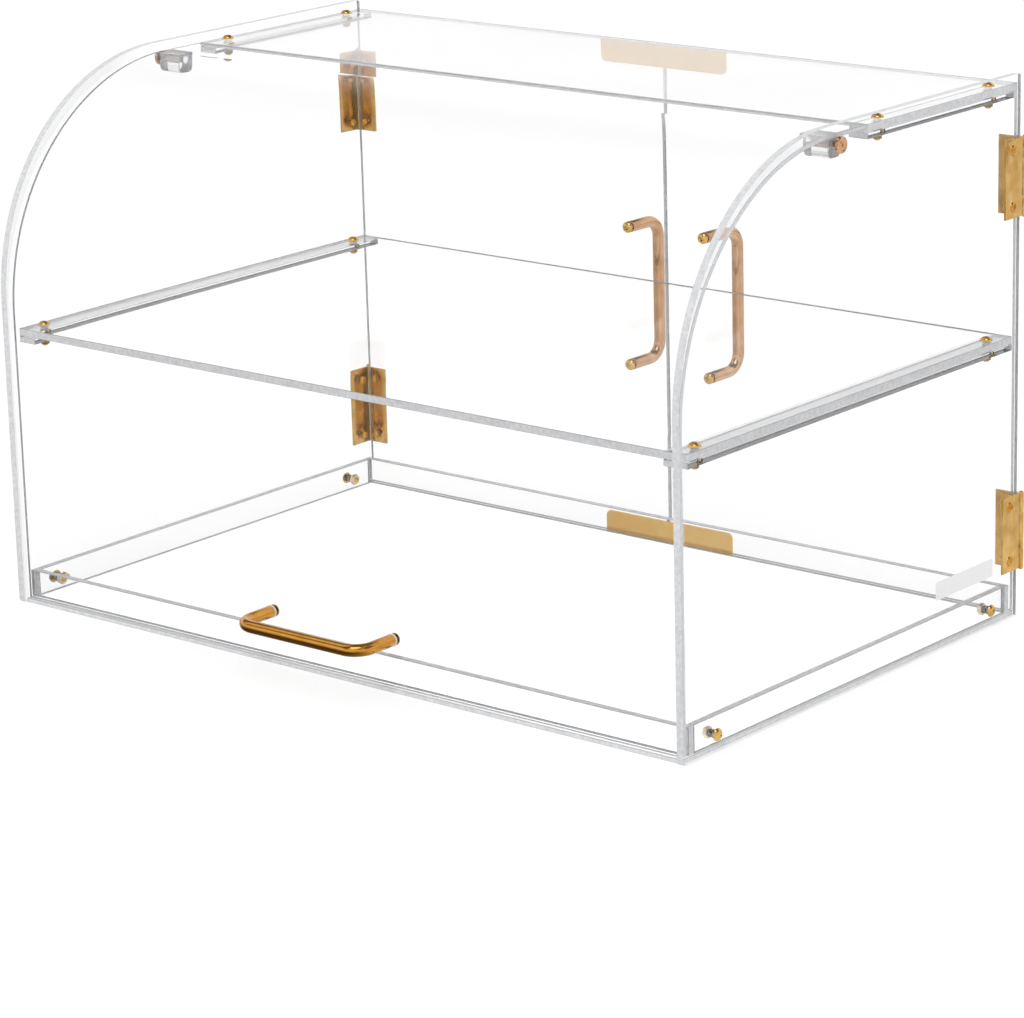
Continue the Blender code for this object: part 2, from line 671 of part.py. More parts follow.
def leaf_mesh(name, outline, notches, screw_line, screw_turn):
    """A hinge leaf of its outline's full height, with notches beside its eyes and two screw holes."""
    outlines = [outline, circle((0, 0), PIN_RADIUS + SEAT_GAP)]
    leaf = as_mesh(new_object(name, flat_curve(name, outlines, LEAF_HEIGHT)))
    reach = KNUCKLE_RADIUS + SEAT_GAP
    for low, high in notches:
        cut(leaf, box_cutter(name + "_notch_cutter", (-reach, -reach, low), (reach, reach, high)))
    for offset in HINGE_SCREW_OFFSETS:
        place = (*screw_line, offset)
        length = LEAF_THICKNESS + 2 * OVERRUN
        cut(leaf, cylinder_cutter(name + "_hole_cutter", HINGE_HOLE_RADIUS, length, place, screw_turn))
    bpy.context.view_layer.update()
    return plain_mesh(as_mesh(leaf))


def hinge_meshes():
    """The meshes of the side leaf, the door leaf and the pin of a right-hand hinge."""
    outline = leaf_outline()
    plate_middle = LEAF_THICKNESS / 2 - KNUCKLE_RADIUS
    half_gap = KNUCKLE_HEIGHT / 2 + SEAT_GAP
    middle_notch = [(-half_gap, half_gap)]
    end = LEAF_HEIGHT / 2 + OVERRUN
    end_notches = [(-end, -KNUCKLE_HEIGHT / 2), (KNUCKLE_HEIGHT / 2, end)]
    side_leaf = leaf_mesh("side_leaf", outline, middle_notch, (plate_middle, -HINGE_SCREW_SETBACK),
                          HEAD_TO_SIDE["right"])
    swapped = [(y, x) for x, y in reversed(outline)]
    door_leaf = leaf_mesh("door_leaf", swapped, end_notches, (-HINGE_SCREW_SETBACK, plate_middle),
                          HEAD_TO_FRONT)
    head_foot = LEAF_HEIGHT / 2 + SEAT_GAP
    head_top = head_foot + PIN_HEAD_HEIGHT
    pin = turned("pin", [
        (0, head_top),
        (PIN_RADIUS, head_top),
        (PIN_HEAD_RADIUS, head_foot),
        (PIN_RADIUS, head_foot),
        (PIN_RADIUS, -head_foot),
        (PIN_HEAD_RADIUS, -head_foot),
        (PIN_RADIUS, -head_top),
        (0, -head_top),
    ])
    return side_leaf, door_leaf, plain_mesh(as_mesh(pin))


def hinges(side, sign, pivot, hinge):
    """The two hinges of one door. A left-hand hinge is a right-hand one turned upside down."""
    side_leaf, door_leaf, pin = hinge
    turn = (0, 0, 0) if sign > 0 else (0, math.radians(180), 0)
    for level, height in HINGE_HEIGHTS.items():
        place = (sign * HINGE_X, HINGE_Y, height)
        name = "hinge_" + side + "_" + level
        place_copy(name + "_side_leaf", side_leaf, place, turn, SATIN_BRASS)
        place_copy(name + "_pin", pin, place, turn, SATIN_BRASS)
        carried(place_copy(name + "_door_leaf", door_leaf, place, turn, SATIN_BRASS), pivot)


def main():
    """Builds the whole case."""
    side_panels()
    base_plate()
    tray_walls()
    tray_fasteners()
    decks()
    cover_pivot = pivot_empty("front_cover_pivot", (0, PIVOT_Y, PIVOT_Z))
    front_cover(cover_pivot)
    pivot_blocks(cover_pivot)
    bar = handle_mesh()
    thread_depth = HANDLE_BORE_DEPTH - SCREW_TIP
    front_handle(bar, screw_mesh("front_handle_screw", stack(COVER_THICKNESS) + thread_depth), cover_pivot)
    doors(bar, screw_mesh("door_handle_screw", stack(DOOR_THICKNESS) + thread_depth), hinge_meshes())
    stop_plates()


main()
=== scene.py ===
# %% [markdown]
# # A clear acrylic display case
#
# The case on a shop counter is made of clear acrylic sheets, held together by gold coloured screws, hinges and
# handles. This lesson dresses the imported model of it: a camera like the photographer's, a white studio, clear
# plastic with polished edges, and three kinds of gold coloured metal.
#
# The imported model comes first. Its parts keep their places, and everything made later rides on one of its bodies.

# %% Load the model
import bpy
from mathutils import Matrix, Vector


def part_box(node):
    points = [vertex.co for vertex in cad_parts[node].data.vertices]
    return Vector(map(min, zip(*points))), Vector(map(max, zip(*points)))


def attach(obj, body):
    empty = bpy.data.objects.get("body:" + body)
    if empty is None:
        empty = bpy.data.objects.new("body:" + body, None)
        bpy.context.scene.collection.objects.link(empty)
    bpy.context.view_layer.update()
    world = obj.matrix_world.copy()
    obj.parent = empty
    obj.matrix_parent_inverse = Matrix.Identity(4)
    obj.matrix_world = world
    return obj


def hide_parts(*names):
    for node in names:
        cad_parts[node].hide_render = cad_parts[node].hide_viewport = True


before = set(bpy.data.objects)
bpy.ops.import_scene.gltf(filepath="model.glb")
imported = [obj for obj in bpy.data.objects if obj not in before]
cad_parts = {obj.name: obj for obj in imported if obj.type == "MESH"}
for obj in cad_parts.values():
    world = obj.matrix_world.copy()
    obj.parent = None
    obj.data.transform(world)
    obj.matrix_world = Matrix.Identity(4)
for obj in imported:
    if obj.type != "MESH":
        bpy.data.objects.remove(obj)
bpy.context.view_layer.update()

import math

import bmesh
import bpy
from mathutils import Matrix, Vector

# %% [markdown]
# ## Lengths
#
# Blender works in metres, and the sizes of small fittings are easier to read in millimetres. So one value turns
# one into the other.

# %% Millimetres
MM = 0.001
CASE_LOW, CASE_HIGH = [Vector(corner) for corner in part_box("side_panel_left")]
CASE_DEPTH = CASE_HIGH.y - CASE_LOW.y
CASE_HEIGHT = CASE_HIGH.z
print("side panels are", round(CASE_DEPTH / MM, 1), "mm deep and", round(CASE_HEIGHT / MM, 1), "mm high")

# %% [markdown]
# ## The camera
#
# The photographer stood in front of the case, to its right and a little above it, and used a long lens, so that
# upright edges stay nearly upright. A camera in Blender looks along its own -Z axis. So it is placed by how far it
# stands, turned round the case by its azimuth, and tilted down by its elevation. A slight roll follows the photograph.

# %% Place the camera
AZIMUTH = 40.0
ELEVATION = 16.22
ROLL = -1.49
LENS = 143.2
CAMERA_PLACE = Vector((1650.9, -1962.7, 814.1)) * MM

camera_data = bpy.data.cameras.new("camera")
camera_data.lens = LENS
camera_data.sensor_width = 36
camera_data.sensor_fit = "HORIZONTAL"
camera_data.clip_start = 0.05
camera_data.clip_end = 50
camera = bpy.data.objects.new("camera", camera_data)
camera.location = CAMERA_PLACE
turn = Matrix.Rotation(math.radians(AZIMUTH), 4, "Z")
tilt = Matrix.Rotation(math.radians(90 - ELEVATION), 4, "X")
roll = Matrix.Rotation(math.radians(ROLL), 4, "Z")
camera.rotation_euler = (turn @ tilt @ roll).to_euler()
bpy.context.scene.collection.objects.link(camera)
bpy.context.scene.camera = camera
print("camera stands", round(CAMERA_PLACE.length, 2), "m from the middle of the case")

# %% [markdown]
# ## Two helpers for materials
#
# Colours are given as web colours, which are written in sRGB, and shaders want linear light. One function turns the
# first into the second. Another adds a node to a tree with its settings and its links, so that each finish reads as a
# list of what it is made of.

# %% Colour and node helpers


def linear(hex_colour):
    """A web colour as linear red, green, blue and alpha."""
    channels = [int(hex_colour[place:place + 2], 16) / 255 for place in (1, 3, 5)]
    return (*[c / 12.92 if c <= 0.04045 else ((c + 0.055) / 1.055) ** 2.4 for c in channels], 1)


def add(tree, kind, settings=None, **inputs):
    """Adds a node. An input is a value, or the output of another node, and its name's spaces are underscores."""
    node = tree.nodes.new("ShaderNode" + kind)
    for name, value in (settings or {}).items():
        setattr(node, name, value)
    for name, value in inputs.items():
        socket = node.inputs[int(name[1:])] if name[1:].isdigit() else node.inputs[name.replace("_", " ")]
        if isinstance(value, bpy.types.NodeSocket):
            tree.links.new(value, socket)
        else:
            socket.default_value = value
    return node


def new_tree(name):
    """An empty material and its node tree."""
    material = bpy.data.materials.new(name)
    material.use_nodes = True
    material.node_tree.nodes.clear()
    return material, material.node_tree


print("white is", linear("#FFFFFF")[:3])

# %% [markdown]
# ## The studio
#
# The case stands on a white sweep. Clear plastic shows only what is around it: its faces vanish against white, and
# its edges bend light from elsewhere in the room. So the room is white below and round the horizon and grey above,
# with one large soft light overhead. The camera itself sees plain white.

# %% White sweep, room and lamps
FLOOR_SIZE = 12.0
EVEN_LIGHT = 0.82
PAINT_SHARE = 0.35
GLOW = 1.15
FLOOR_PATCHES = 3.0
SKY_PATCHES = 1.6


def room():
    """The world: white to the camera, even to matt surfaces, and darker overhead to what metal and glass show."""
    world = bpy.data.worlds.new("studio")
    bpy.context.scene.world = world
    world.use_nodes = True
    tree = world.node_tree
    tree.nodes.clear()
    direction = add(tree, "TexCoord")
    height = add(tree, "SeparateXYZ", Vector=direction.outputs["Generated"])
    through = add(tree, "MapRange", Value=height.outputs["Z"], From_Min=0.36, From_Max=0.8, To_Min=1.0, To_Max=0.6)
    banks = add(tree, "TexNoise", Vector=direction.outputs["Generated"], Scale=SKY_PATCHES, Detail=0.0)
    overhead = add(tree, "MapRange", {"interpolation_type": "SMOOTHSTEP"}, Value=banks.outputs["Fac"],
                   From_Min=0.4, From_Max=0.6, To_Min=0.15, To_Max=0.95)
    below = add(tree, "MapRange", Value=height.outputs["Z"], From_Min=0.36, From_Max=0.5, To_Min=1.0, To_Max=0.0)
    above = add(tree, "MapRange", Value=height.outputs["Z"], From_Min=0.0, From_Max=0.1, To_Min=0.2, To_Max=1.0)
    band = add(tree, "Math", {"operation": "MAXIMUM"}, _0=below.outputs["Result"], _1=overhead.outputs["Result"])
    patchy = add(tree, "Math", {"operation": "MULTIPLY"}, _0=band.outputs[0], _1=above.outputs["Result"])
    path = add(tree, "LightPath")
    mirrored = add(tree, "Mix", _0=path.outputs["Glossy Depth"], _2=through.outputs["Result"],
                   _3=patchy.outputs[0])
    indirect = add(tree, "Mix", _0=path.outputs["Is Diffuse Ray"], _2=mirrored.outputs[0], _3=EVEN_LIGHT)
    level = add(tree, "Mix", _0=path.outputs["Is Camera Ray"], _2=indirect.outputs[0], _3=1.0)
    background = add(tree, "Background", Color=(1, 1, 1, 1), Strength=level.outputs[0])
    add(tree, "OutputWorld", Surface=background.outputs["Background"])


def floor():
    """The sweep under the case. The camera and the glass see it white, with a light shadow of the case.

    What metal mirrors of it is patchy, as in a room with lamps and unlit corners, and dark just in front of the case.
    """
    bpy.ops.object.select_all(action="DESELECT")
    bpy.ops.mesh.primitive_circle_add(vertices=64, radius=FLOOR_SIZE / 2, fill_type="NGON")
    sweep = bpy.context.active_object
    sweep.name = "sweep"
    material, tree = new_tree("white_sweep")
    paint = add(tree, "BsdfDiffuse", Color=linear("#F4F4F4"))
    glow = add(tree, "Emission", Color=(1, 1, 1, 1), Strength=GLOW)
    white = add(tree, "MixShader", _0=PAINT_SHARE, _1=glow.outputs[0], _2=paint.outputs[0])
    place = add(tree, "TexCoord")
    patches = add(tree, "TexNoise", Vector=place.outputs["Object"], Scale=FLOOR_PATCHES, Detail=0.0)
    patchy = add(tree, "MapRange", {"interpolation_type": "SMOOTHSTEP"}, Value=patches.outputs["Fac"],
                 From_Min=0.38, From_Max=0.6, To_Min=0.7, To_Max=1.0)
    around = add(tree, "Mapping", Vector=place.outputs["Object"], Location=(0.03, 0.28, 0.0), Scale=(0.5, 1.0, 1.0))
    away = add(tree, "VectorMath", {"operation": "LENGTH"}, _0=around.outputs["Vector"])
    behind = add(tree, "MapRange", {"interpolation_type": "SMOOTHSTEP"}, Value=away.outputs["Value"],
                 From_Min=0.06, From_Max=0.16, To_Min=0.1, To_Max=1.0)
    parts = add(tree, "SeparateXYZ", Vector=place.outputs["Object"])
    rightwards = add(tree, "MapRange", {"interpolation_type": "SMOOTHSTEP"}, Value=parts.outputs["X"],
                     From_Min=-0.45, From_Max=0.3, To_Min=0.75, To_Max=1.0)
    lamps = add(tree, "Math", {"operation": "MULTIPLY"}, _0=patchy.outputs["Result"], _1=behind.outputs["Result"])
    level = add(tree, "Math", {"operation": "MULTIPLY"}, _0=lamps.outputs[0], _1=rightwards.outputs["Result"])
    mirrored = add(tree, "Emission", Color=(1, 1, 1, 1), Strength=level.outputs[0])
    path = add(tree, "LightPath")
    seen = add(tree, "MixShader", _0=path.outputs["Glossy Depth"], _1=white.outputs[0], _2=mirrored.outputs[0])
    shown = add(tree, "MixShader", _0=path.outputs["Is Diffuse Ray"], _1=seen.outputs[0], _2=paint.outputs[0])
    add(tree, "OutputMaterial", Surface=shown.outputs[0])
    sweep.data.materials.append(material)
    return sweep


def soft_sun(name, azimuth, elevation, angle, strength):
    """A soft light so far away that it is as bright everywhere, like a wide studio softbox."""
    data = bpy.data.lights.new(name, "SUN")
    data.angle = math.radians(angle)
    data.energy = strength
    light = bpy.data.objects.new(name, data)
    light.rotation_euler = (0, math.radians(90 - elevation), math.radians(azimuth))
    bpy.context.scene.collection.objects.link(light)
    return light


room()
sweep = floor()
soft_sun("overhead", -60, 65, 35, 0.6)
bpy.context.scene.view_settings.view_transform = "Standard"

# %% [markdown]
# ## Clear acrylic
#
# Cast acrylic is clearer than glass, with an index of refraction of 1.49. Its cut edges are flame polished, which
# leaves them faintly rippled. Light from every side runs along inside the sheet, and the pale grey this gives an edge
# whatever is behind it is painted, with painted darker lines where its corners are broken. Each sheet's mesh carries a
# mark that says which of its faces are cut edges and which are those broken corners, and the material reads it.

# %% Clear acrylic
SURFACE_MARK = "cut_surface"
EDGE = 0.5
CORNER = 1.0
RIPPLE_SPACING = 2.5 * MM
ABSORPTION = 0.6
# The share of a cut edge that is painted grey rather than clear acrylic.
PAINTED_EDGE_SHARE = 0.88
VEIL = 1.0
FAINT = 0.15


def clear_acrylic(name, gloss_share=0.3, painted_light_share=0.0, margin=None):
    """Clear cast acrylic, with painted grey cut edges. Where light gathers, a pale painted light is mixed in. A margin
    is a function that says where that is.
    """
    material, tree = new_tree(name)
    mark = add(tree, "Attribute", {"attribute_name": SURFACE_MARK})
    place = add(tree, "TexCoord")
    ripples = add(tree, "TexNoise", Vector=place.outputs["Object"], Scale=1 / RIPPLE_SPACING, Detail=2.0)
    # Painted light and shade of a cut edge: pale greys in ripples, and a darker grey painted on the broken corners.
    painted_edge_tones = add(tree, "ValToRGB", Fac=ripples.outputs["Fac"])
    painted_edge_tones.color_ramp.elements[0].position = 0.3
    painted_edge_tones.color_ramp.elements[0].color = linear("#DCDDE0")
    painted_edge_tones.color_ramp.elements[1].position = 0.7
    painted_edge_tones.color_ramp.elements[1].color = linear("#F2F2F4")
    is_corner = add(tree, "Math", {"operation": "GREATER_THAN"}, _0=mark.outputs["Fac"], _1=0.75)
    is_cut = add(tree, "Math", {"operation": "GREATER_THAN"}, _0=mark.outputs["Fac"], _1=0.25)
    grey = add(tree, "Mix", {"data_type": "RGBA"}, Factor=is_corner.outputs[0], _6=painted_edge_tones.outputs["Color"],
               _7=linear("#B4B6B8"))
    glossy = add(tree, "BsdfPrincipled", Base_Color=(1, 1, 1, 1), Roughness=0.0, IOR=1.49, Transmission_Weight=1.0)
    plain = add(tree, "BsdfRefraction", Color=(1, 1, 1, 1), Roughness=0.0, IOR=1.49)
    clear = add(tree, "MixShader", _0=gloss_share, _1=plain.outputs[0], _2=glossy.outputs[0])
    if painted_light_share:
        share = painted_light_share
        if margin:
            limited = add(tree, "Math", {"operation": "MULTIPLY"}, _0=margin(tree, place), _1=painted_light_share)
            share = limited.outputs[0]
        # Painted light: a pale matt grey mixed into the clear sheet.
        painted_light = add(tree, "BsdfDiffuse", Color=linear("#E6E7E9"))
        clear = add(tree, "MixShader", _0=share, _1=clear.outputs[0], _2=painted_light.outputs[0])
    bump = add(tree, "Bump", Height=ripples.outputs["Fac"], Distance=0.05 * MM, Strength=0.4)
    rippled = add(tree, "BsdfPrincipled", Base_Color=(0.9, 0.9, 0.91, 1), Roughness=0.1, IOR=1.49,
                  Transmission_Weight=1.0, Normal=bump.outputs["Normal"])
    # The painted grey, lit by the lamps, takes most of a cut edge; the rest is rippled clear acrylic.
    painted_edge_grey = add(tree, "BsdfDiffuse", Color=grey.outputs[2])
    edge = add(tree, "MixShader", _0=PAINTED_EDGE_SHARE, _1=rippled.outputs[0], _2=painted_edge_grey.outputs[0])
    sheet = add(tree, "MixShader", _0=is_cut.outputs[0], _1=clear.outputs[0], _2=edge.outputs[0])
    through = add(tree, "BsdfTransparent", Color=(0.97, 0.97, 0.97, 1))
    path = add(tree, "LightPath")
    mixed = add(tree, "MixShader", _0=path.outputs["Is Shadow Ray"], _1=sheet.outputs[0], _2=through.outputs[0])
    absorbed = add(tree, "VolumeAbsorption", Color=(0, 0, 0, 1), Density=ABSORPTION)
    add(tree, "OutputMaterial", Surface=mixed.outputs[0], Volume=absorbed.outputs[0])
    return material


ACRYLIC = clear_acrylic("clear_cast_acrylic")

# %% [markdown]
# ## Sheets
#
# A flat sheet is a cube primitive stretched to the size of its part in the model, drilled where its screws pass,
# and given a fine bevel, because a polished edge is never quite sharp. The bevel catches the thin bright and dark
# lines that make an acrylic edge readable.

# %% Tools for sheets
EDGE_BEVEL = 0.35 * MM
HOLE_RADIUS = 2.3 * MM
HINGE_HOLE_RADIUS = 1.6 * MM
HINGE_SCREW_PITCH = 36.5 * MM
HINGE_SCREW_SETBACK = 12.5 * MM
SMOOTH_ANGLE = math.radians(13)


def fresh_cube(name, low, high):
    """A cube between two opposite corners, with its size and place in its mesh."""
    bpy.ops.object.select_all(action="DESELECT")
    bpy.ops.mesh.primitive_cube_add(size=1)
    cube = bpy.context.active_object
    cube.name = name
    cube.scale = Vector(high) - Vector(low)
    cube.location = (Vector(high) + Vector(low)) / 2
    bpy.ops.object.transform_apply(location=True, rotation=True, scale=True)
    return cube


def apply_modifier(piece, kind, **settings):
    """Adds a modifier to the active piece and applies it."""
    bpy.context.view_layer.objects.active = piece
    modifier = piece.modifiers.new(kind.lower(), kind)
    for name, value in settings.items():
        setattr(modifier, name, value)
    bpy.ops.object.modifier_apply(modifier=modifier.name)


bores = {}


def drill(piece, place, axis, radius, length):
    """Drills a round hole with its middle at a place, along the axis X, Y or Z."""
    bores.setdefault(piece.name, []).append((Vector(place), "XYZ".index(axis), radius))
    rotation = {"X": (0, math.pi / 2, 0), "Y": (math.pi / 2, 0, 0), "Z": (0, 0, 0)}[axis]
    bpy.ops.object.select_all(action="DESELECT")
    bpy.ops.mesh.primitive_cylinder_add(vertices=32, radius=radius, depth=length, location=place, rotation=rotation)
    bit = bpy.context.active_object
    apply_modifier(piece, "BOOLEAN", operation="DIFFERENCE", object=bit, solver="EXACT")
    bpy.data.objects.remove(bit, do_unlink=True)


def bevel_edges(piece, chosen, radius, steps):
    """Rounds the edges whose two ends both pass a test."""
    bpy.ops.object.select_all(action="DESELECT")
    piece.select_set(True)
    bpy.context.view_layer.objects.active = piece
    bpy.ops.object.mode_set(mode="EDIT")
    bpy.ops.mesh.select_mode(type="EDGE")
    bpy.ops.mesh.select_all(action="DESELECT")
    shape = bmesh.from_edit_mesh(piece.data)
    for edge in shape.edges:
        edge.select = all(chosen(vertex.co) for vertex in edge.verts)
    bmesh.update_edit_mesh(piece.data)
    bpy.ops.mesh.bevel(offset=radius, segments=steps, affect="EDGES")
    bpy.ops.object.mode_set(mode="OBJECT")


def in_bore(piece, point):
    """Whether a point of a piece is on the wall of one of its drilled holes."""
    for place, across, radius in bores.get(piece.name, []):
        away = point - place
        away[across] = 0
        if away.length < radius + 0.01 * MM:
            return True
    return False


def mark_surfaces(piece, surface):
    """Stores on each face of a sheet what it is, for the material to read. A drill leaves its hole clear."""
    marks = piece.data.attributes.new(SURFACE_MARK, "FLOAT", "FACE")
    for face in piece.data.polygons:
        marks.data[face.index].value = 0.0 if in_bore(piece, face.center) else surface(face)


def by_axis(axis):
    """What a face of a flat sheet is: its broad faces point along the axis, its cut edges across it."""
    across = "XYZ".index(axis)

    def surface(face):
        """0 for a broad face, and the marks of a cut edge or a broken corner."""
        slant = abs(face.normal[across])
        if slant > 0.99:
            return 0.0
        return CORNER if slant > 0.05 else EDGE

    return surface


def polished(piece, body, node, surface, material=ACRYLIC):
    """Finishes a sheet: fine bevels, smooth round parts, clear acrylic, and the part that it stands for."""
    apply_modifier(piece, "BEVEL", width=EDGE_BEVEL, segments=2, limit_method="ANGLE", angle_limit=math.radians(40))
    bpy.ops.object.select_all(action="DESELECT")
    piece.select_set(True)
    bpy.ops.object.shade_smooth_by_angle(angle=SMOOTH_ANGLE)
    apply_modifier(piece, "WEIGHTED_NORMAL", weight=100, keep_sharp=True)
    mark_surfaces(piece, surface)
    piece.data.materials.clear()
    piece.data.materials.append(material)
    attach(piece, body)
    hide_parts(node)
    return piece


def middle(node):
    """The middle of a part's box."""
    low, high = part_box(node)
    return (Vector(low) + Vector(high)) / 2


def hinge_holes(side, shift):
    """The middles of the screw holes of a side's two hinges, at a shift from the hinges' pins."""
    pins = [middle("hinge_" + side + "_" + level + "_pin") for level in ("lower", "upper")]
    return [pin + Vector(shift) + Vector((0, 0, up)) for pin in pins
            for up in (-HINGE_SCREW_PITCH / 2, HINGE_SCREW_PITCH / 2)]


def beside(point, tolerance=0.5 * MM):
    """A test for points that share the given coordinates, where None means any."""
    return lambda place: all(want is None or abs(have - want) < tolerance for have, want in zip(place, point))


# %% [markdown]
# ## The side panels
#
# Each end of the case is one sheet with a quarter-round nose. A bevel as wide as the nose's radius turns the upper
# front edge of a cube into that quarter round.

# %% Model the side panels
NOSE_RADIUS = 150 * MM
NOSE_STEPS = 96
CORNER_RADIUS = 2 * MM
COVER_BEND_RADIUS = 152 * MM


def panel_margin(tree, place):
    """Where a side panel gets painted light: before the cover's outline and over its nose, where light gathers."""
    low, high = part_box("front_cover")
    centre_y = low[1] + COVER_BEND_RADIUS
    centre_z = high[2] - COVER_BEND_RADIUS
    parts = add(tree, "SeparateXYZ", Vector=place.outputs["Object"])
    ahead = add(tree, "Math", {"operation": "SUBTRACT"}, _0=centre_y, _1=parts.outputs["Y"])
    ahead = add(tree, "Math", {"operation": "MAXIMUM"}, _0=ahead.outputs[0], _1=0.0)
    above = add(tree, "Math", {"operation": "SUBTRACT"}, _0=parts.outputs["Z"], _1=centre_z)
    above = add(tree, "Math", {"operation": "MAXIMUM"}, _0=above.outputs[0], _1=0.0)
    both = add(tree, "CombineXYZ", X=ahead.outputs[0], Y=above.outputs[0])
    reach = add(tree, "VectorMath", {"operation": "LENGTH"}, _0=both.outputs[0])
    beyond = add(tree, "Math", {"operation": "GREATER_THAN"}, _0=reach.outputs["Value"], _1=COVER_BEND_RADIUS)
    nose = add(tree, "MapRange", Value=ahead.outputs[0], From_Min=0.0, From_Max=50 * MM, To_Min=0.0, To_Max=1.0)
    share = add(tree, "Math", {"operation": "MULTIPLY"}, _0=beyond.outputs[0], _1=nose.outputs["Result"])
    return share.outputs[0]


PANEL_ACRYLIC = clear_acrylic("side_panel_acrylic", painted_light_share=0.22, margin=panel_margin)


def side_panel(side):
    """One end of the case."""
    node = "side_panel_" + side
    low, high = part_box(node)
    panel = fresh_cube("panel_" + side, low, high)
    bevel_edges(panel, beside((None, low[1], high[2])), NOSE_RADIUS, NOSE_STEPS)
    bevel_edges(panel, beside((None, high[1], high[2])), CORNER_RADIUS, 6)
    bevel_edges(panel, beside((None, low[1], low[2])), CORNER_RADIUS, 6)
    thickness = high[0] - low[0]
    centre_x = (high[0] + low[0]) / 2
    for screw in ("pivot_screw_" + side, "tray_screw_" + side + "_front", "tray_screw_" + side + "_rear"):
        place = middle(screw)
        drill(panel, (centre_x, place.y, place.z), "X", HOLE_RADIUS, 2 * thickness)
    for place in hinge_holes(side, (0, -HINGE_SCREW_SETBACK, 0)):
        drill(panel, (centre_x, place.y, place.z), "X", HINGE_HOLE_RADIUS, 2 * thickness)
    return polished(panel, "case", node, by_axis("X"), PANEL_ACRYLIC)


for side in ("left", "right"):
    panel = side_panel(side)
    print(panel.name, len(panel.data.polygons), "faces")

# %% [markdown]
# ## The flat sheets
#
# The floor, its four low walls, the top panel, the shelf and their rails are rectangles. A strip of the shelf over its
# glued rails, and the floor's strip before the front wall, catch light, which is painted on them as a pale grey.

# %% Model the flat sheets


def glued_strips(tree, place):
    """Where the shelf gets painted light: over its glued rails."""
    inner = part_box("shelf_rail_right")[0][0]
    parts = add(tree, "SeparateXYZ", Vector=place.outputs["Object"])
    off_centre = add(tree, "Math", {"operation": "ABSOLUTE"}, _0=parts.outputs["X"])
    over_rail = add(tree, "Math", {"operation": "GREATER_THAN"}, _0=off_centre.outputs[0], _1=inner)
    return over_rail.outputs[0]


def front_strip(tree, place):
    """Where the floor gets painted light: before its front wall, more at the left than at the right."""
    wall_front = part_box("tray_wall_front")[0][1]
    parts = add(tree, "SeparateXYZ", Vector=place.outputs["Object"])
    before = add(tree, "Math", {"operation": "LESS_THAN"}, _0=parts.outputs["Y"], _1=wall_front)
    leftness = add(tree, "MapRange", Value=parts.outputs["X"], From_Min=-CASE_DEPTH / 2, From_Max=CASE_DEPTH / 2,
                   To_Min=1.0, To_Max=0.15)
    share = add(tree, "Math", {"operation": "MULTIPLY"}, _0=before.outputs[0], _1=leftness.outputs["Result"])
    return share.outputs[0]


SHEET_ACRYLIC = {
    "top_panel": clear_acrylic("top_panel_acrylic", gloss_share=VEIL),
    "shelf": clear_acrylic("shelf_acrylic", gloss_share=FAINT, painted_light_share=0.35, margin=glued_strips),
    "base_plate": clear_acrylic("floor_acrylic", gloss_share=FAINT, painted_light_share=0.8, margin=front_strip),
}


def rail_surface(face):
    """What a face of a rail is: its cut ends are grey, and its long sides and broad faces are clear."""
    square_on = max(abs(part) for part in face.normal)
    if square_on < 0.99:
        return CORNER
    return EDGE if abs(face.normal.y) > 0.99 else 0.0


def flat_sheet(node, body, axis, screws, small_holes=()):
    """A rectangular sheet that screws pass through along one axis."""
    low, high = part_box(node)
    sheet = fresh_cube(node + "_sheet", low, high)
    across = "XYZ".index(axis)
    centre = middle(node)
    for screw in screws:
        place = middle(screw)
        place[across] = centre[across]
        drill(sheet, place, axis, HOLE_RADIUS, 2 * (high[across] - low[across]))
    for place in small_holes:
        place[across] = centre[across]
        drill(sheet, place, axis, HINGE_HOLE_RADIUS, 2 * (high[across] - low[across]))
    surface = rail_surface if "rail" in node else by_axis(axis)
    return polished(sheet, body, node, surface, SHEET_ACRYLIC.get(node, ACRYLIC))


ENDS = ("front", "rear")
flat_sheet("base_plate", "case", "Z", [])
for end in ENDS:
    flat_sheet("tray_wall_" + end, "case", "Y", [])
for side in ("left", "right"):
    flat_sheet("tray_wall_" + side, "case", "X", ["tray_screw_" + side + "_" + end for end in ENDS])
for deck, prefix in (("top_panel", "top"), ("shelf", "shelf")):
    names = {side: [prefix + "_screw_" + side + "_" + end for end in ENDS] for side in ("left", "right")}
    flat_sheet(deck, "case", "Z", names["left"] + names["right"])
    for side in ("left", "right"):
        flat_sheet(prefix + "_rail_" + side, "case", "Z", names[side])
for side, inward in (("left", 1), ("right", -1)):
    screws = ["door_handle_screw_" + side + "_" + level for level in ("lower", "upper")]
    holes = hinge_holes(side, (inward * HINGE_SCREW_SETBACK, 0, 0))
    flat_sheet("door_" + side, side + "_door", "Y", screws, holes)

# %% [markdown]
# ## The front cover
#
# The cover is one sheet, heated and bent round a former. Here a plane stands upright, its top edge is extruded back
# to the lip, and the corner between them is bevelled as wide as the bend. Solidify gives it its thickness.

# %% Model the front cover
COVER_THICKNESS = 3 * MM


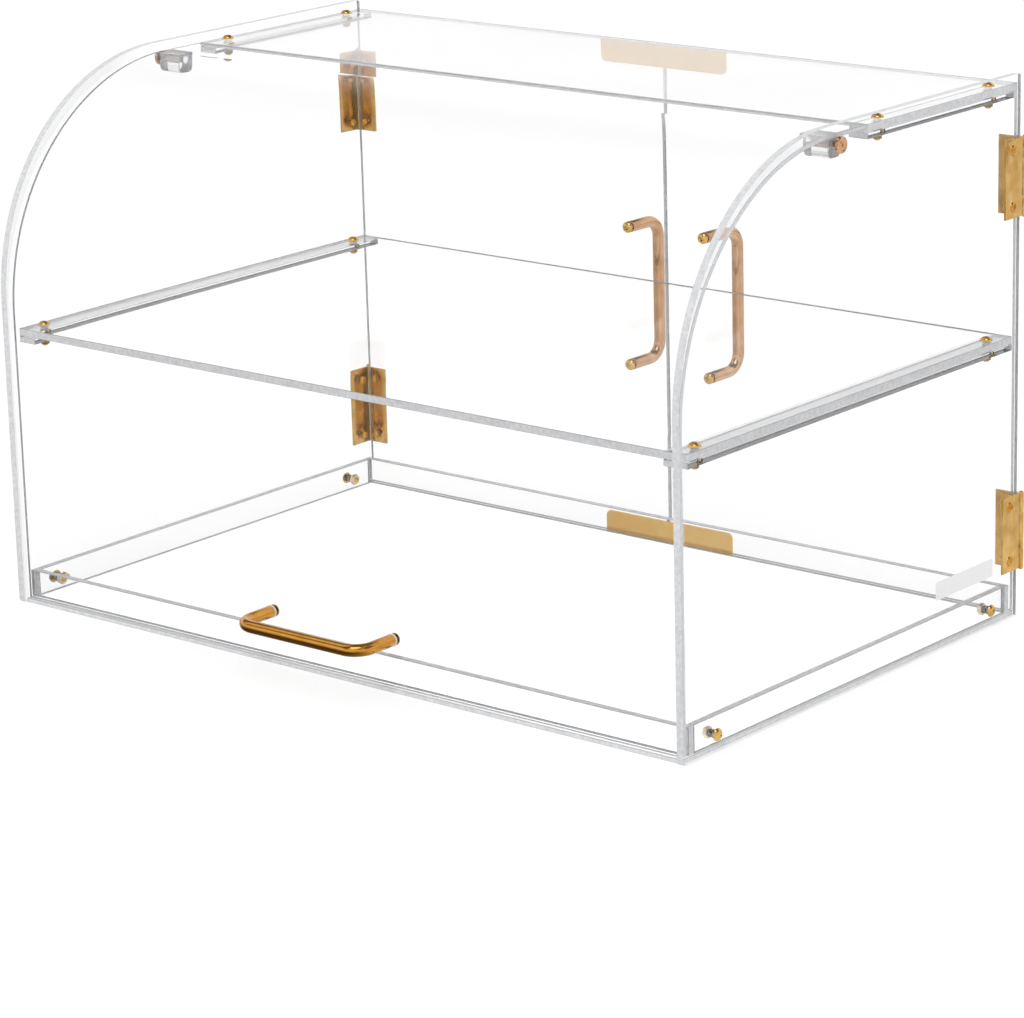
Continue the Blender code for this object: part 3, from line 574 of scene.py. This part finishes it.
def front_cover():
    """The bent sheet that flips up."""
    low, high = [Vector(corner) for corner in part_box("front_cover")]
    bpy.ops.object.select_all(action="DESELECT")
    bpy.ops.mesh.primitive_plane_add(size=1, rotation=(math.pi / 2, 0, 0))
    cover = bpy.context.active_object
    cover.name = "cover_sheet"
    cover.scale = (high.x - low.x, high.z - low.z, 1)
    cover.location = ((low.x + high.x) / 2, low.y, (low.z + high.z) / 2)
    bpy.ops.object.transform_apply(location=True, rotation=True, scale=True)
    bpy.ops.object.mode_set(mode="EDIT")
    bpy.ops.mesh.select_mode(type="EDGE")
    bpy.ops.mesh.select_all(action="DESELECT")
    shape = bmesh.from_edit_mesh(cover.data)
    for edge in shape.edges:
        edge.select = all(abs(vertex.co.z - high.z) < MM for vertex in edge.verts)
    bmesh.update_edit_mesh(cover.data)
    bpy.ops.mesh.extrude_edges_move(TRANSFORM_OT_translate={"value": (0, high.y - low.y, 0)})
    bpy.ops.object.mode_set(mode="OBJECT")
    bevel_edges(cover, beside((None, low.y, high.z)), COVER_BEND_RADIUS, NOSE_STEPS)
    bpy.ops.object.mode_set(mode="EDIT")
    bpy.ops.mesh.select_all(action="SELECT")
    bpy.ops.mesh.normals_make_consistent(inside=False)
    bpy.ops.object.mode_set(mode="OBJECT")
    front = min(cover.data.polygons, key=lambda face: face.center.z)
    side = 1 if front.normal.y > 0 else -1
    apply_modifier(cover, "SOLIDIFY", thickness=COVER_THICKNESS, offset=side, use_even_offset=True)
    for screw in ("front_handle_screw_left", "front_handle_screw_right"):
        place = middle(screw)
        place.y = low.y + COVER_THICKNESS / 2
        drill(cover, place, "Y", HOLE_RADIUS, 3 * COVER_THICKNESS)

    def surface(face):
        """The cover's cut edges are its two sides, its foot and the end of its lip."""
        along = max(abs(face.normal.x), -face.normal.z if face.center.z < low.z + MM else 0,
                    face.normal.y if face.center.y > high.y - MM else 0)
        if along < 0.05:
            return 0.0
        return EDGE if along > 0.99 else CORNER

    return polished(cover, "cover", "front_cover", surface)


cover = front_cover()
print("cover box", [round(v / MM, 1) for corner in (cover.bound_box[0], cover.bound_box[6]) for v in corner])

# %% [markdown]
# ## The pivot blocks
#
# A small block is glued under each end of the cover, and the cover turns on a screw in it.

# %% Model the pivot blocks
BLOCK_CORNER_RADIUS = 4 * MM
BROKEN_CORNER_AREA = 6 * MM ** 2
# The blocks get painted light all over, which makes them look pale grey.
BLOCK_ACRYLIC = clear_acrylic("block_acrylic", painted_light_share=0.2)

for side in ("left", "right"):
    node = "pivot_block_" + side
    low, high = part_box(node)
    block = fresh_cube(node + "_piece", low, high)
    for edge_y in (low[1], high[1]):
        bevel_edges(block, beside((None, edge_y, low[2])), BLOCK_CORNER_RADIUS, 8)
    place = middle("pivot_screw_" + side)
    drill(block, ((low[0] + high[0]) / 2, place.y, place.z), "X", HOLE_RADIUS, 2 * (high[0] - low[0]))
    polished(block, "cover", node, lambda face: CORNER if face.area < BROKEN_CORNER_AREA else 0.0, BLOCK_ACRYLIC)

# %% [markdown]
# ## Gold coloured metals
#
# The front handle is polished to a deep amber, the screws and stop plates to a brighter gold, the door handles and
# pivot screws to a rosy gold, and the hinges are satin brass. None is one flat colour: the plating drifts in tone,
# and polishing leaves fine marks that break up the gloss.

# %% Metals
TONE_SPACING = 9 * MM
GRAIN_SPACING = 0.35 * MM
EVEN = (1, 1, 1)
UPRIGHT = (1, 1, 0.08)


def metal(name, pale, deep, roughness, stretch=EVEN, metallic=1.0):
    """A plated metal whose tone drifts between two colours, with fine marks in its gloss and relief."""
    material, tree = new_tree(name)
    place = add(tree, "TexCoord")
    drift = add(tree, "TexNoise", Vector=place.outputs["Object"], Scale=1 / TONE_SPACING, Detail=2.0)
    tone = add(tree, "ValToRGB", Fac=drift.outputs["Fac"])
    tone.color_ramp.elements[0].position = 0.35
    tone.color_ramp.elements[0].color = linear(deep)
    tone.color_ramp.elements[1].position = 0.65
    tone.color_ramp.elements[1].color = linear(pale)
    grain = add(tree, "Mapping", Vector=place.outputs["Object"], Scale=stretch)
    marks = add(tree, "TexNoise", Vector=grain.outputs["Vector"], Scale=1 / GRAIN_SPACING, Detail=3.0)
    gloss = add(tree, "MapRange", Value=marks.outputs["Fac"], To_Min=0.7 * roughness, To_Max=1.3 * roughness)
    relief = add(tree, "Bump", Height=marks.outputs["Fac"], Distance=0.004 * MM, Strength=0.3)
    shader = add(tree, "BsdfPrincipled", Base_Color=tone.outputs["Color"], Roughness=gloss.outputs["Result"],
                 Metallic=metallic, Normal=relief.outputs["Normal"])
    add(tree, "OutputMaterial", Surface=shader.outputs[0])
    return material


AMBER = metal("amber_gold", "#DDA04A", "#D0903A", 0.13)
GOLD = metal("polished_gold", "#EBC070", "#DDB05A", 0.1)
ROSE = metal("rose_gold_plate", "#DEB28A", "#CE9E74", 0.13)
BRASS = metal("satin_brass", "#E6BC74", "#D6A85E", 0.25, UPRIGHT)
# Nuts under the shelf and the top panel: gold with painted shade, darker than the other nuts.
SHADE_PAINTED_GOLD = metal("gold_painted_shade", "#A08048", "#806232", 0.3)
# Nuts inside the low walls: gold with painted light, paler than the other nuts.
LIGHT_PAINTED_GOLD = metal("gold_painted_light", "#F6E8CE", "#EAD6B2", 0.3)
PEACH = metal("bright_gold", "#FFD588", "#FFCB78", 0.35, metallic=0.8)


def dressed(piece, body, material, slot, *nodes):
    """Finishes a metal piece: a smooth look, its metal, and the parts that it stands for."""
    bpy.ops.object.select_all(action="DESELECT")
    piece.select_set(True)
    bpy.context.view_layer.objects.active = piece
    bpy.ops.object.shade_smooth_by_angle(angle=math.radians(35))
    piece.data.materials.clear()
    piece.data.materials.append(material)
    piece.visible_glossy = False
    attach(piece, body)
    if nodes:
        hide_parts(*nodes)
    return piece


# %% [markdown]
# ## The handles
#
# Each handle is a round bar, bent twice. A disc the size of the bar is drawn out along the leg, spun round the bend,
# drawn out along the grip, spun again and drawn back to its foot. A screw bites into each foot, so each is bored.

# %% Model the handles
HANDLE_RADIUS = 4 * MM
HANDLE_BEND_RADIUS = 12 * MM
HANDLE_BEND_STEPS = 16
FOOT_BORE = 10 * MM
WASHER_THICKNESS = 1.1 * MM
WASHER_RADIUS = 4.3 * MM
SEAT_GAP = 0.3 * MM


def extrude(offset):
    """Draws the selected face out."""
    bpy.ops.mesh.extrude_region_move(TRANSFORM_OT_translate={"value": offset})


def bent_bar(name, foot, along, out, pitch, projection):
    """A bar with two feet a pitch apart, whose grip stands off by its projection."""
    bpy.ops.object.select_all(action="DESELECT")
    facing = out.to_track_quat("Z", "Y").to_euler()
    bpy.ops.mesh.primitive_circle_add(vertices=32, radius=HANDLE_RADIUS, fill_type="NGON", location=foot,
                                      rotation=facing)
    bar = bpy.context.active_object
    bar.name = name
    bpy.ops.object.transform_apply(location=True, rotation=True, scale=True)
    bpy.ops.object.mode_set(mode="EDIT")
    bpy.ops.mesh.select_mode(type="FACE")
    bpy.ops.mesh.select_all(action="SELECT")
    leg = projection - HANDLE_BEND_RADIUS
    grip = pitch - 2 * HANDLE_BEND_RADIUS
    first_bend = foot + out * leg + along * HANDLE_BEND_RADIUS
    hinge_line = along.cross(out)
    extrude(out * leg)
    bpy.ops.mesh.spin(steps=HANDLE_BEND_STEPS, angle=math.pi / 2, center=first_bend, axis=hinge_line)
    extrude(along * grip)
    bpy.ops.mesh.spin(steps=HANDLE_BEND_STEPS, angle=math.pi / 2, center=first_bend + along * grip, axis=hinge_line)
    extrude(-out * leg)
    bpy.ops.mesh.select_all(action="SELECT")
    bpy.ops.mesh.remove_doubles(threshold=0.001 * MM)
    bpy.ops.mesh.normals_make_consistent(inside=False)
    bpy.ops.object.mode_set(mode="OBJECT")
    apply_modifier(bar, "BEVEL", width=0.4 * MM, segments=3, limit_method="ANGLE", angle_limit=math.radians(60))
    axis = "XYZ"[[abs(part) > 0.5 for part in out].index(True)]
    for end in (foot, foot + along * pitch):
        drill(bar, end, axis, HOLE_RADIUS, 2 * FOOT_BORE)
    return bar


def handle_ends(node, along_axis, out_axis, out_sign):
    """The middle of a handle's first foot, the way to the other one, the pitch and the projection."""
    low, high = [Vector(corner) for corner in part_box(node)]
    foot = (low + high) / 2
    foot[along_axis] = low[along_axis] + HANDLE_RADIUS
    foot[out_axis] = low[out_axis] if out_sign > 0 else high[out_axis]
    pitch = high[along_axis] - low[along_axis] - 2 * HANDLE_RADIUS
    projection = high[out_axis] - low[out_axis] - HANDLE_RADIUS
    return foot, pitch, projection


def mottled_white(name):
    """A plain white surface with a faint mottle."""
    material, tree = new_tree(name)
    place = add(tree, "TexCoord")
    mottle = add(tree, "TexNoise", Vector=place.outputs["Object"], Scale=1 / (1.5 * MM), Detail=4.0)
    tone = add(tree, "ValToRGB", Fac=mottle.outputs["Fac"])
    tone.color_ramp.elements[0].color = linear("#F4F4F5")
    tone.color_ramp.elements[1].color = linear("#FDFDFD")
    shader = add(tree, "BsdfPrincipled", Base_Color=tone.outputs["Color"], Roughness=0.45)
    add(tree, "OutputMaterial", Surface=shader.outputs[0])
    return material


NYLON = mottled_white("white_nylon")
foot, pitch, projection = handle_ends("front_handle", 0, 1, -1)
FORWARD = Vector((0, -1, 0))
BACK = Vector((0, 1, 0))
RIGHT = Vector((1, 0, 0))
UP = Vector((0, 0, 1))
lifted = foot + FORWARD * WASHER_THICKNESS
bar = bent_bar("front_bar", lifted, RIGHT, FORWARD, pitch, projection - WASHER_THICKNESS)
dressed(bar, "cover", AMBER, "polished_gold", "front_handle")
for side, place in (("left", foot), ("right", foot + RIGHT * pitch)):
    bpy.ops.object.select_all(action="DESELECT")
    middle_y = place + FORWARD * (WASHER_THICKNESS - SEAT_GAP) / 2
    bpy.ops.mesh.primitive_cylinder_add(vertices=32, radius=WASHER_RADIUS, depth=WASHER_THICKNESS - SEAT_GAP,
                                        location=middle_y, rotation=(math.pi / 2, 0, 0))
    washer = bpy.context.active_object
    washer.name = "nylon_washer_" + side
    bpy.ops.object.transform_apply(location=True, rotation=True, scale=True)
    drill(washer, middle_y, "Y", HOLE_RADIUS, 4 * WASHER_THICKNESS)
    apply_modifier(washer, "BEVEL", width=0.2 * MM, segments=2, limit_method="ANGLE", angle_limit=math.radians(40))
    dressed(washer, "cover", NYLON, "clear_acrylic")
for side in ("left", "right"):
    foot, pitch, projection = handle_ends("door_handle_" + side, 2, 1, 1)
    bar = bent_bar("door_bar_" + side, foot, UP, BACK, pitch, projection)
    dressed(bar, side + "_door", ROSE, "rose_gold", "door_handle_" + side)
print("handles:", len(bar.data.polygons), "faces each")

# %% [markdown]
# ## Screws and nuts
#
# A screw is turned on a lathe, and so is this one: a disc is drawn out and resized from ring to ring, from the tip of
# the shank to the top of its domed head. A cross is then sunk into the head for the driver. One screw of each size is
# made, and its copies are turned a little further each time, because no two screws stop at the same angle.

# %% Model screws and nuts


def lathe(name, rings, sides=32):
    """A round solid on the Z axis. Each ring is a radius and a height."""
    bpy.ops.object.select_all(action="DESELECT")
    radius, height = rings[0]
    bpy.ops.mesh.primitive_circle_add(vertices=sides, radius=radius, fill_type="NGON", location=(0, 0, height))
    piece = bpy.context.active_object
    piece.name = name
    bpy.ops.object.transform_apply(location=True, rotation=True, scale=True)
    bpy.ops.object.mode_set(mode="EDIT")
    bpy.ops.mesh.select_mode(type="FACE")
    bpy.ops.mesh.select_all(action="SELECT")
    for next_radius, next_height in rings[1:]:
        extrude((0, 0, next_height - height))
        ratio = next_radius / radius
        bpy.ops.transform.resize(value=(ratio, ratio, 1), center_override=(0, 0, next_height))
        radius, height = next_radius, next_height
    bpy.ops.mesh.select_all(action="SELECT")
    bpy.ops.mesh.normals_make_consistent(inside=False)
    bpy.ops.object.mode_set(mode="OBJECT")
    return piece


def dome_rings(radius, height, steps=6):
    """The rings of a domed head that stands on height zero, up to a small flat on its top."""
    turns = [math.radians(80) * step / steps for step in range(steps + 1)]
    return [(radius * math.cos(turn), height * math.sin(turn)) for turn in turns]


def sink_cross(piece, top, span, width, depth):
    """Sinks a driver's cross into the top of a head."""
    for size in ((span, width, 2 * depth), (width, span, 2 * depth)):
        half = Vector(size) / 2
        tool = fresh_cube("cross", Vector((0, 0, top)) - half, Vector((0, 0, top)) + half)
        apply_modifier(piece, "BOOLEAN", operation="DIFFERENCE", object=tool, solver="EXACT")
        bpy.data.objects.remove(tool, do_unlink=True)


SHANK_RADIUS = 2 * MM


def screw_pattern(name, head_radius, head_height, length, shank_radius=SHANK_RADIUS):
    """A domed screw whose head stands on height zero. The shank ends in a small chamfer."""
    rings = [(shank_radius - 0.5 * MM, -length), (shank_radius, 0.5 * MM - length), (shank_radius, 0)]
    screw = lathe(name, rings + dome_rings(head_radius, head_height))
    sink_cross(screw, head_height, 0.95 * head_radius, 0.24 * head_radius, 0.55 * head_height)
    return screw


def nut_pattern(name, radius, height, hole_radius):
    """A six-sided nut with broken corners, drilled through."""
    bpy.ops.object.select_all(action="DESELECT")
    bpy.ops.mesh.primitive_cylinder_add(vertices=6, radius=radius, depth=height)
    nut = bpy.context.active_object
    nut.name = name
    apply_modifier(nut, "BEVEL", width=0.3 * MM, segments=2, limit_method="ANGLE", angle_limit=math.radians(40))
    drill(nut, (0, 0, 0), "Z", hole_radius, 2 * height)
    return nut


copies_made = 0


def placed_copy(pattern, name, place, direction):
    """A copy of a pattern with its own mesh. Its top points in the given direction, turned by a different angle."""
    global copies_made
    copies_made += 1
    piece = pattern.copy()
    piece.data = pattern.data.copy()
    piece.name = name
    bpy.context.scene.collection.objects.link(piece)
    spun = Matrix.Rotation(math.radians(37 * copies_made), 4, "Z")
    facing = direction.to_track_quat("Z", "Y").to_matrix().to_4x4()
    piece.matrix_world = Matrix.Translation(place) @ facing @ spun
    bpy.ops.object.select_all(action="DESELECT")
    piece.select_set(True)
    bpy.context.view_layer.objects.active = piece
    bpy.ops.object.transform_apply(location=True, rotation=True, scale=True)
    return piece


def end_of(node, direction):
    """The place on a part's axis where its box ends in a direction."""
    low, high = [Vector(corner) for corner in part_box(node)]
    centre = (low + high) / 2
    reach = Vector([abs(part) for part in direction]).dot(high - low) / 2
    return centre + direction * reach


def length_of(node, direction):
    """How long a part's box is in a direction."""
    low, high = [Vector(corner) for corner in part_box(node)]
    return Vector([abs(part) for part in direction]).dot(high - low)


HEAD_RADIUS = 4 * MM
HEAD_HEIGHT = 2.6 * MM
NUT_RADIUS = 4 * MM
NUT_HEIGHT = 3 * MM
CAP_NUT_RADIUS = 3 * MM
SCREW_TIP = 1 * MM
OUTWARD = {"left": -RIGHT, "right": RIGHT}

for prefix in ("top", "shelf"):
    length = length_of(prefix + "_screw_left_front", UP) - HEAD_HEIGHT
    screw = screw_pattern("screw_pattern", HEAD_RADIUS, HEAD_HEIGHT, length)
    nut = nut_pattern("nut_pattern", CAP_NUT_RADIUS, NUT_HEIGHT, SHANK_RADIUS - 0.1 * MM)
    for side in ("left", "right"):
        for end in ENDS:
            node = prefix + "_screw_" + side + "_" + end
            seat = end_of(node, UP) - UP * HEAD_HEIGHT
            piece = placed_copy(screw, node + "_dome", seat, UP)
            dressed(piece, "case", GOLD, "polished_gold", node)
            nut_place = end_of(node, -UP) + UP * (SCREW_TIP + NUT_HEIGHT / 2)
            # Painted shade: these nuts take a darker gold.
            dressed(placed_copy(nut, node + "_nut", nut_place, UP), "case", SHADE_PAINTED_GOLD, "polished_gold")
    bpy.data.objects.remove(screw, do_unlink=True)
    bpy.data.objects.remove(nut, do_unlink=True)

nut = nut_pattern("nut_pattern", NUT_RADIUS, NUT_HEIGHT, HOLE_RADIUS)
screw = screw_pattern("screw_pattern", HEAD_RADIUS, HEAD_HEIGHT, length_of("tray_screw_left_front", RIGHT) - HEAD_HEIGHT)
for side in ("left", "right"):
    for end in ENDS:
        node = "tray_screw_" + side + "_" + end
        seat = end_of(node, OUTWARD[side]) - OUTWARD[side] * HEAD_HEIGHT
        dressed(placed_copy(screw, node + "_dome", seat, OUTWARD[side]), "case", GOLD, "polished_gold", node)
        node = "tray_nut_" + side + "_" + end
        # Painted light: these nuts take a paler gold.
        dressed(placed_copy(nut, node + "_hexagon", middle(node), OUTWARD[side]), "case", LIGHT_PAINTED_GOLD, "polished_gold",
                node)
bpy.data.objects.remove(screw, do_unlink=True)
bpy.data.objects.remove(nut, do_unlink=True)

screw = screw_pattern("screw_pattern", HEAD_RADIUS, HEAD_HEIGHT, length_of("front_handle_screw_left", BACK) - HEAD_HEIGHT)
handle_screws = [("front_handle_screw_left", BACK, "cover"), ("front_handle_screw_right", BACK, "cover")]
for side in ("left", "right"):
    for level in ("lower", "upper"):
        handle_screws.append(("door_handle_screw_" + side + "_" + level, FORWARD, side + "_door"))
for node, direction, body in handle_screws:
    seat = end_of(node, direction) - direction * HEAD_HEIGHT
    dressed(placed_copy(screw, node + "_dome", seat, direction), body, GOLD, "polished_gold", node)
bpy.data.objects.remove(screw, do_unlink=True)
print("screws and nuts:", copies_made)

# %% [markdown]
# ## The pivot screws
#
# The cover turns on two screws with wide flat heads: a raised rim, a sunk ring and a six-sided socket.

# %% Model the pivot screws
PIVOT_HEAD_RADIUS = 5.25 * MM
PIVOT_HEAD_HEIGHT = 2.5 * MM
PIVOT_POINT = 4 * MM

length = length_of("pivot_screw_left", RIGHT) - PIVOT_HEAD_HEIGHT
rim = PIVOT_HEAD_HEIGHT
pivot = lathe("pivot_pattern", [
    (0.1 * MM, -length),
    (SHANK_RADIUS, PIVOT_POINT - length),
    (SHANK_RADIUS, 0),
    (PIVOT_HEAD_RADIUS - 0.3 * MM, 0),
    (PIVOT_HEAD_RADIUS, 0.3 * MM),
    (PIVOT_HEAD_RADIUS, rim - 0.5 * MM),
    (PIVOT_HEAD_RADIUS - 0.5 * MM, rim),
    (PIVOT_HEAD_RADIUS - 1.1 * MM, rim),
    (PIVOT_HEAD_RADIUS - 1.6 * MM, rim - 0.7 * MM),
    (2.4 * MM, rim - 0.7 * MM),
    (2.1 * MM, rim - 0.4 * MM),
    (1.9 * MM, rim - 0.4 * MM),
], sides=48)
bpy.ops.object.select_all(action="DESELECT")
bpy.ops.mesh.primitive_cylinder_add(vertices=6, radius=1.3 * MM, depth=2.4 * MM, location=(0, 0, rim))
socket = bpy.context.active_object
apply_modifier(pivot, "BOOLEAN", operation="DIFFERENCE", object=socket, solver="EXACT")
bpy.data.objects.remove(socket, do_unlink=True)
for side in ("left", "right"):
    node = "pivot_screw_" + side
    seat = end_of(node, OUTWARD[side]) - OUTWARD[side] * PIVOT_HEAD_HEIGHT
    dressed(placed_copy(pivot, node + "_flat_head", seat, OUTWARD[side]), "cover", ROSE, "rose_gold", node)
bpy.data.objects.remove(pivot, do_unlink=True)

# %% [markdown]
# ## The hinges
#
# Each butt hinge is two brass leaves that wrap the case's rear corner, with knuckles on one pin. The model already
# has their shape, so a copy of each leaf is welded, cleaned of the lines across its flat faces and given fine rounded
# corners. Each leaf is held by two domed screws, with a small nut inside the case.

# %% Model the hinges
LEAF_BEVEL = 0.2 * MM
PIN_RADIUS = 0.9 * MM
HINGE_SCREW_RADIUS = 3.5 * MM
HINGE_SCREW_HEIGHT = 1.5 * MM
HINGE_SHANK = 1.4 * MM
HINGE_NUT_RADIUS = 2.6 * MM
HINGE_NUT_HEIGHT = 1.8 * MM


def welded_leaf(node, body):
    """A hinge leaf, made from a welded copy of its part."""
    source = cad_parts[node]
    leaf = source.copy()
    leaf.data = source.data.copy()
    leaf.name = node + "_plate"
    bpy.context.scene.collection.objects.link(leaf)
    leaf.parent = None
    leaf.matrix_world = Matrix.Identity(4)
    bpy.ops.object.select_all(action="DESELECT")
    leaf.select_set(True)
    bpy.context.view_layer.objects.active = leaf
    bpy.ops.object.mode_set(mode="EDIT")
    bpy.ops.mesh.select_all(action="SELECT")
    bpy.ops.mesh.remove_doubles(threshold=0.01 * MM)
    bpy.ops.mesh.dissolve_limited(angle_limit=math.radians(1))
    bpy.ops.mesh.normals_make_consistent(inside=False)
    bpy.ops.object.mode_set(mode="OBJECT")
    apply_modifier(leaf, "BEVEL", width=LEAF_BEVEL, segments=2, limit_method="ANGLE", angle_limit=math.radians(50))
    return dressed(leaf, body, BRASS, "satin_brass", node)


LEAF_THICKNESS = 1.4 * MM
KNUCKLE_RADIUS = 1.8 * MM
SIDE_SHEET = 5 * MM
DOOR_SHEET = 3 * MM
for side, outward in OUTWARD.items():
    for level in ("lower", "upper"):
        prefix = "hinge_" + side + "_" + level
        welded_leaf(prefix + "_side_leaf", "case")
        welded_leaf(prefix + "_door_leaf", side + "_door")
        pin_axis = middle(prefix + "_pin")
        pin_length = length_of(prefix + "_pin", UP)
        half = pin_length / 2
        pin_rings = [(0.9 * MM, -half), (1.4 * MM, 0.3 * MM - half), (1.4 * MM, 0.6 * MM - half),
                     (PIN_RADIUS, 0.6 * MM - half), (PIN_RADIUS, half - 0.6 * MM), (1.4 * MM, half - 0.6 * MM),
                     (1.4 * MM, half - 0.3 * MM), (0.9 * MM, half)]
        pattern = lathe("pin_pattern", pin_rings)
        dressed(placed_copy(pattern, prefix + "_round_pin", pin_axis, UP), "case", BRASS, "satin_brass",
                prefix + "_pin")
        bpy.data.objects.remove(pattern, do_unlink=True)
        for leaf, body, direction, sheet in (("side", "case", outward, SIDE_SHEET),
                                             ("door", side + "_door", BACK, DOOR_SHEET)):
            length = LEAF_THICKNESS + sheet + HINGE_NUT_HEIGHT + 1.2 * MM
            screw = screw_pattern("screw_pattern", HINGE_SCREW_RADIUS, HINGE_SCREW_HEIGHT, length, HINGE_SHANK)
            nut = nut_pattern("nut_pattern", HINGE_NUT_RADIUS, HINGE_NUT_HEIGHT, HINGE_SHANK - 0.05 * MM)
            across = -BACK if leaf == "side" else -outward
            for mark, shift in (("low", -HINGE_SCREW_PITCH / 2), ("high", HINGE_SCREW_PITCH / 2)):
                name = prefix + "_" + leaf + "_screw_" + mark
                axis_point = pin_axis + UP * shift + across * HINGE_SCREW_SETBACK
                low, high = [Vector(corner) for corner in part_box(prefix + "_" + leaf + "_leaf")]
                flat = 0 if leaf == "side" else 1
                outer_face = high[flat] if direction[flat] > 0 else low[flat]
                seat = axis_point.copy()
                seat[flat] = outer_face - direction[flat] * (2 * KNUCKLE_RADIUS - LEAF_THICKNESS)
                # The hinge screw heads take the darker amber gold: painted shade that sets them off from the leaves.
                dressed(placed_copy(screw, name, seat, direction), body, AMBER, "polished_gold")
                nut_place = seat - direction * (LEAF_THICKNESS + sheet + HINGE_NUT_HEIGHT / 2 + SEAT_GAP)
                dressed(placed_copy(nut, name + "_nut", nut_place, direction), body, GOLD, "polished_gold")
            bpy.data.objects.remove(screw, do_unlink=True)
            bpy.data.objects.remove(nut, do_unlink=True)
print("hinges:", 2 * len(OUTWARD))

# %% [markdown]
# ## The stop plates and the label
#
# Two thin plates stop the doors where they meet. A white paper label is stuck low on the right side panel. It is bare.

# %% Model the stop plates and the label
STOP_CORNER_RADIUS = 4 * MM
LABEL_LOW = Vector((279.55, 85, 33.5)) * MM
LABEL_HIGH = Vector((279.7, 150, 45.5)) * MM

for level, free_edge in (("lower", 1), ("upper", 0)):
    node = "stop_plate_" + level
    corners = [Vector(corner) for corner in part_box(node)]
    plate = fresh_cube(node + "_strip", *corners)
    for end_x in (corners[0].x, corners[1].x):
        bevel_edges(plate, beside((end_x, None, corners[free_edge].z)), STOP_CORNER_RADIUS, 8)
    apply_modifier(plate, "BEVEL", width=0.2 * MM, segments=2, limit_method="ANGLE", angle_limit=math.radians(40))
    dressed(plate, "case", PEACH, "polished_gold", node)


label = fresh_cube("bare_label", LABEL_LOW, LABEL_HIGH)
for y in (LABEL_LOW.y, LABEL_HIGH.y):
    for z in (LABEL_LOW.z, LABEL_HIGH.z):
        bevel_edges(label, beside((None, y, z)), 1.5 * MM, 5)
dressed(label, "case", mottled_white("label_paper"), "clear_acrylic")

# %% [markdown]
# ## Rendering clear sheets
#
# Light crosses many sheets before it leaves the case, and each crossing counts as a bounce. Too few would turn the
# edges black.

# %% Allow enough bounces
bpy.context.scene.cycles.max_bounces = 48
bpy.context.scene.cycles.glossy_bounces = 48
bpy.context.scene.cycles.transmission_bounces = 32
bpy.context.scene.cycles.transparent_max_bounces = 48
bpy.context.scene.cycles.use_denoising = True
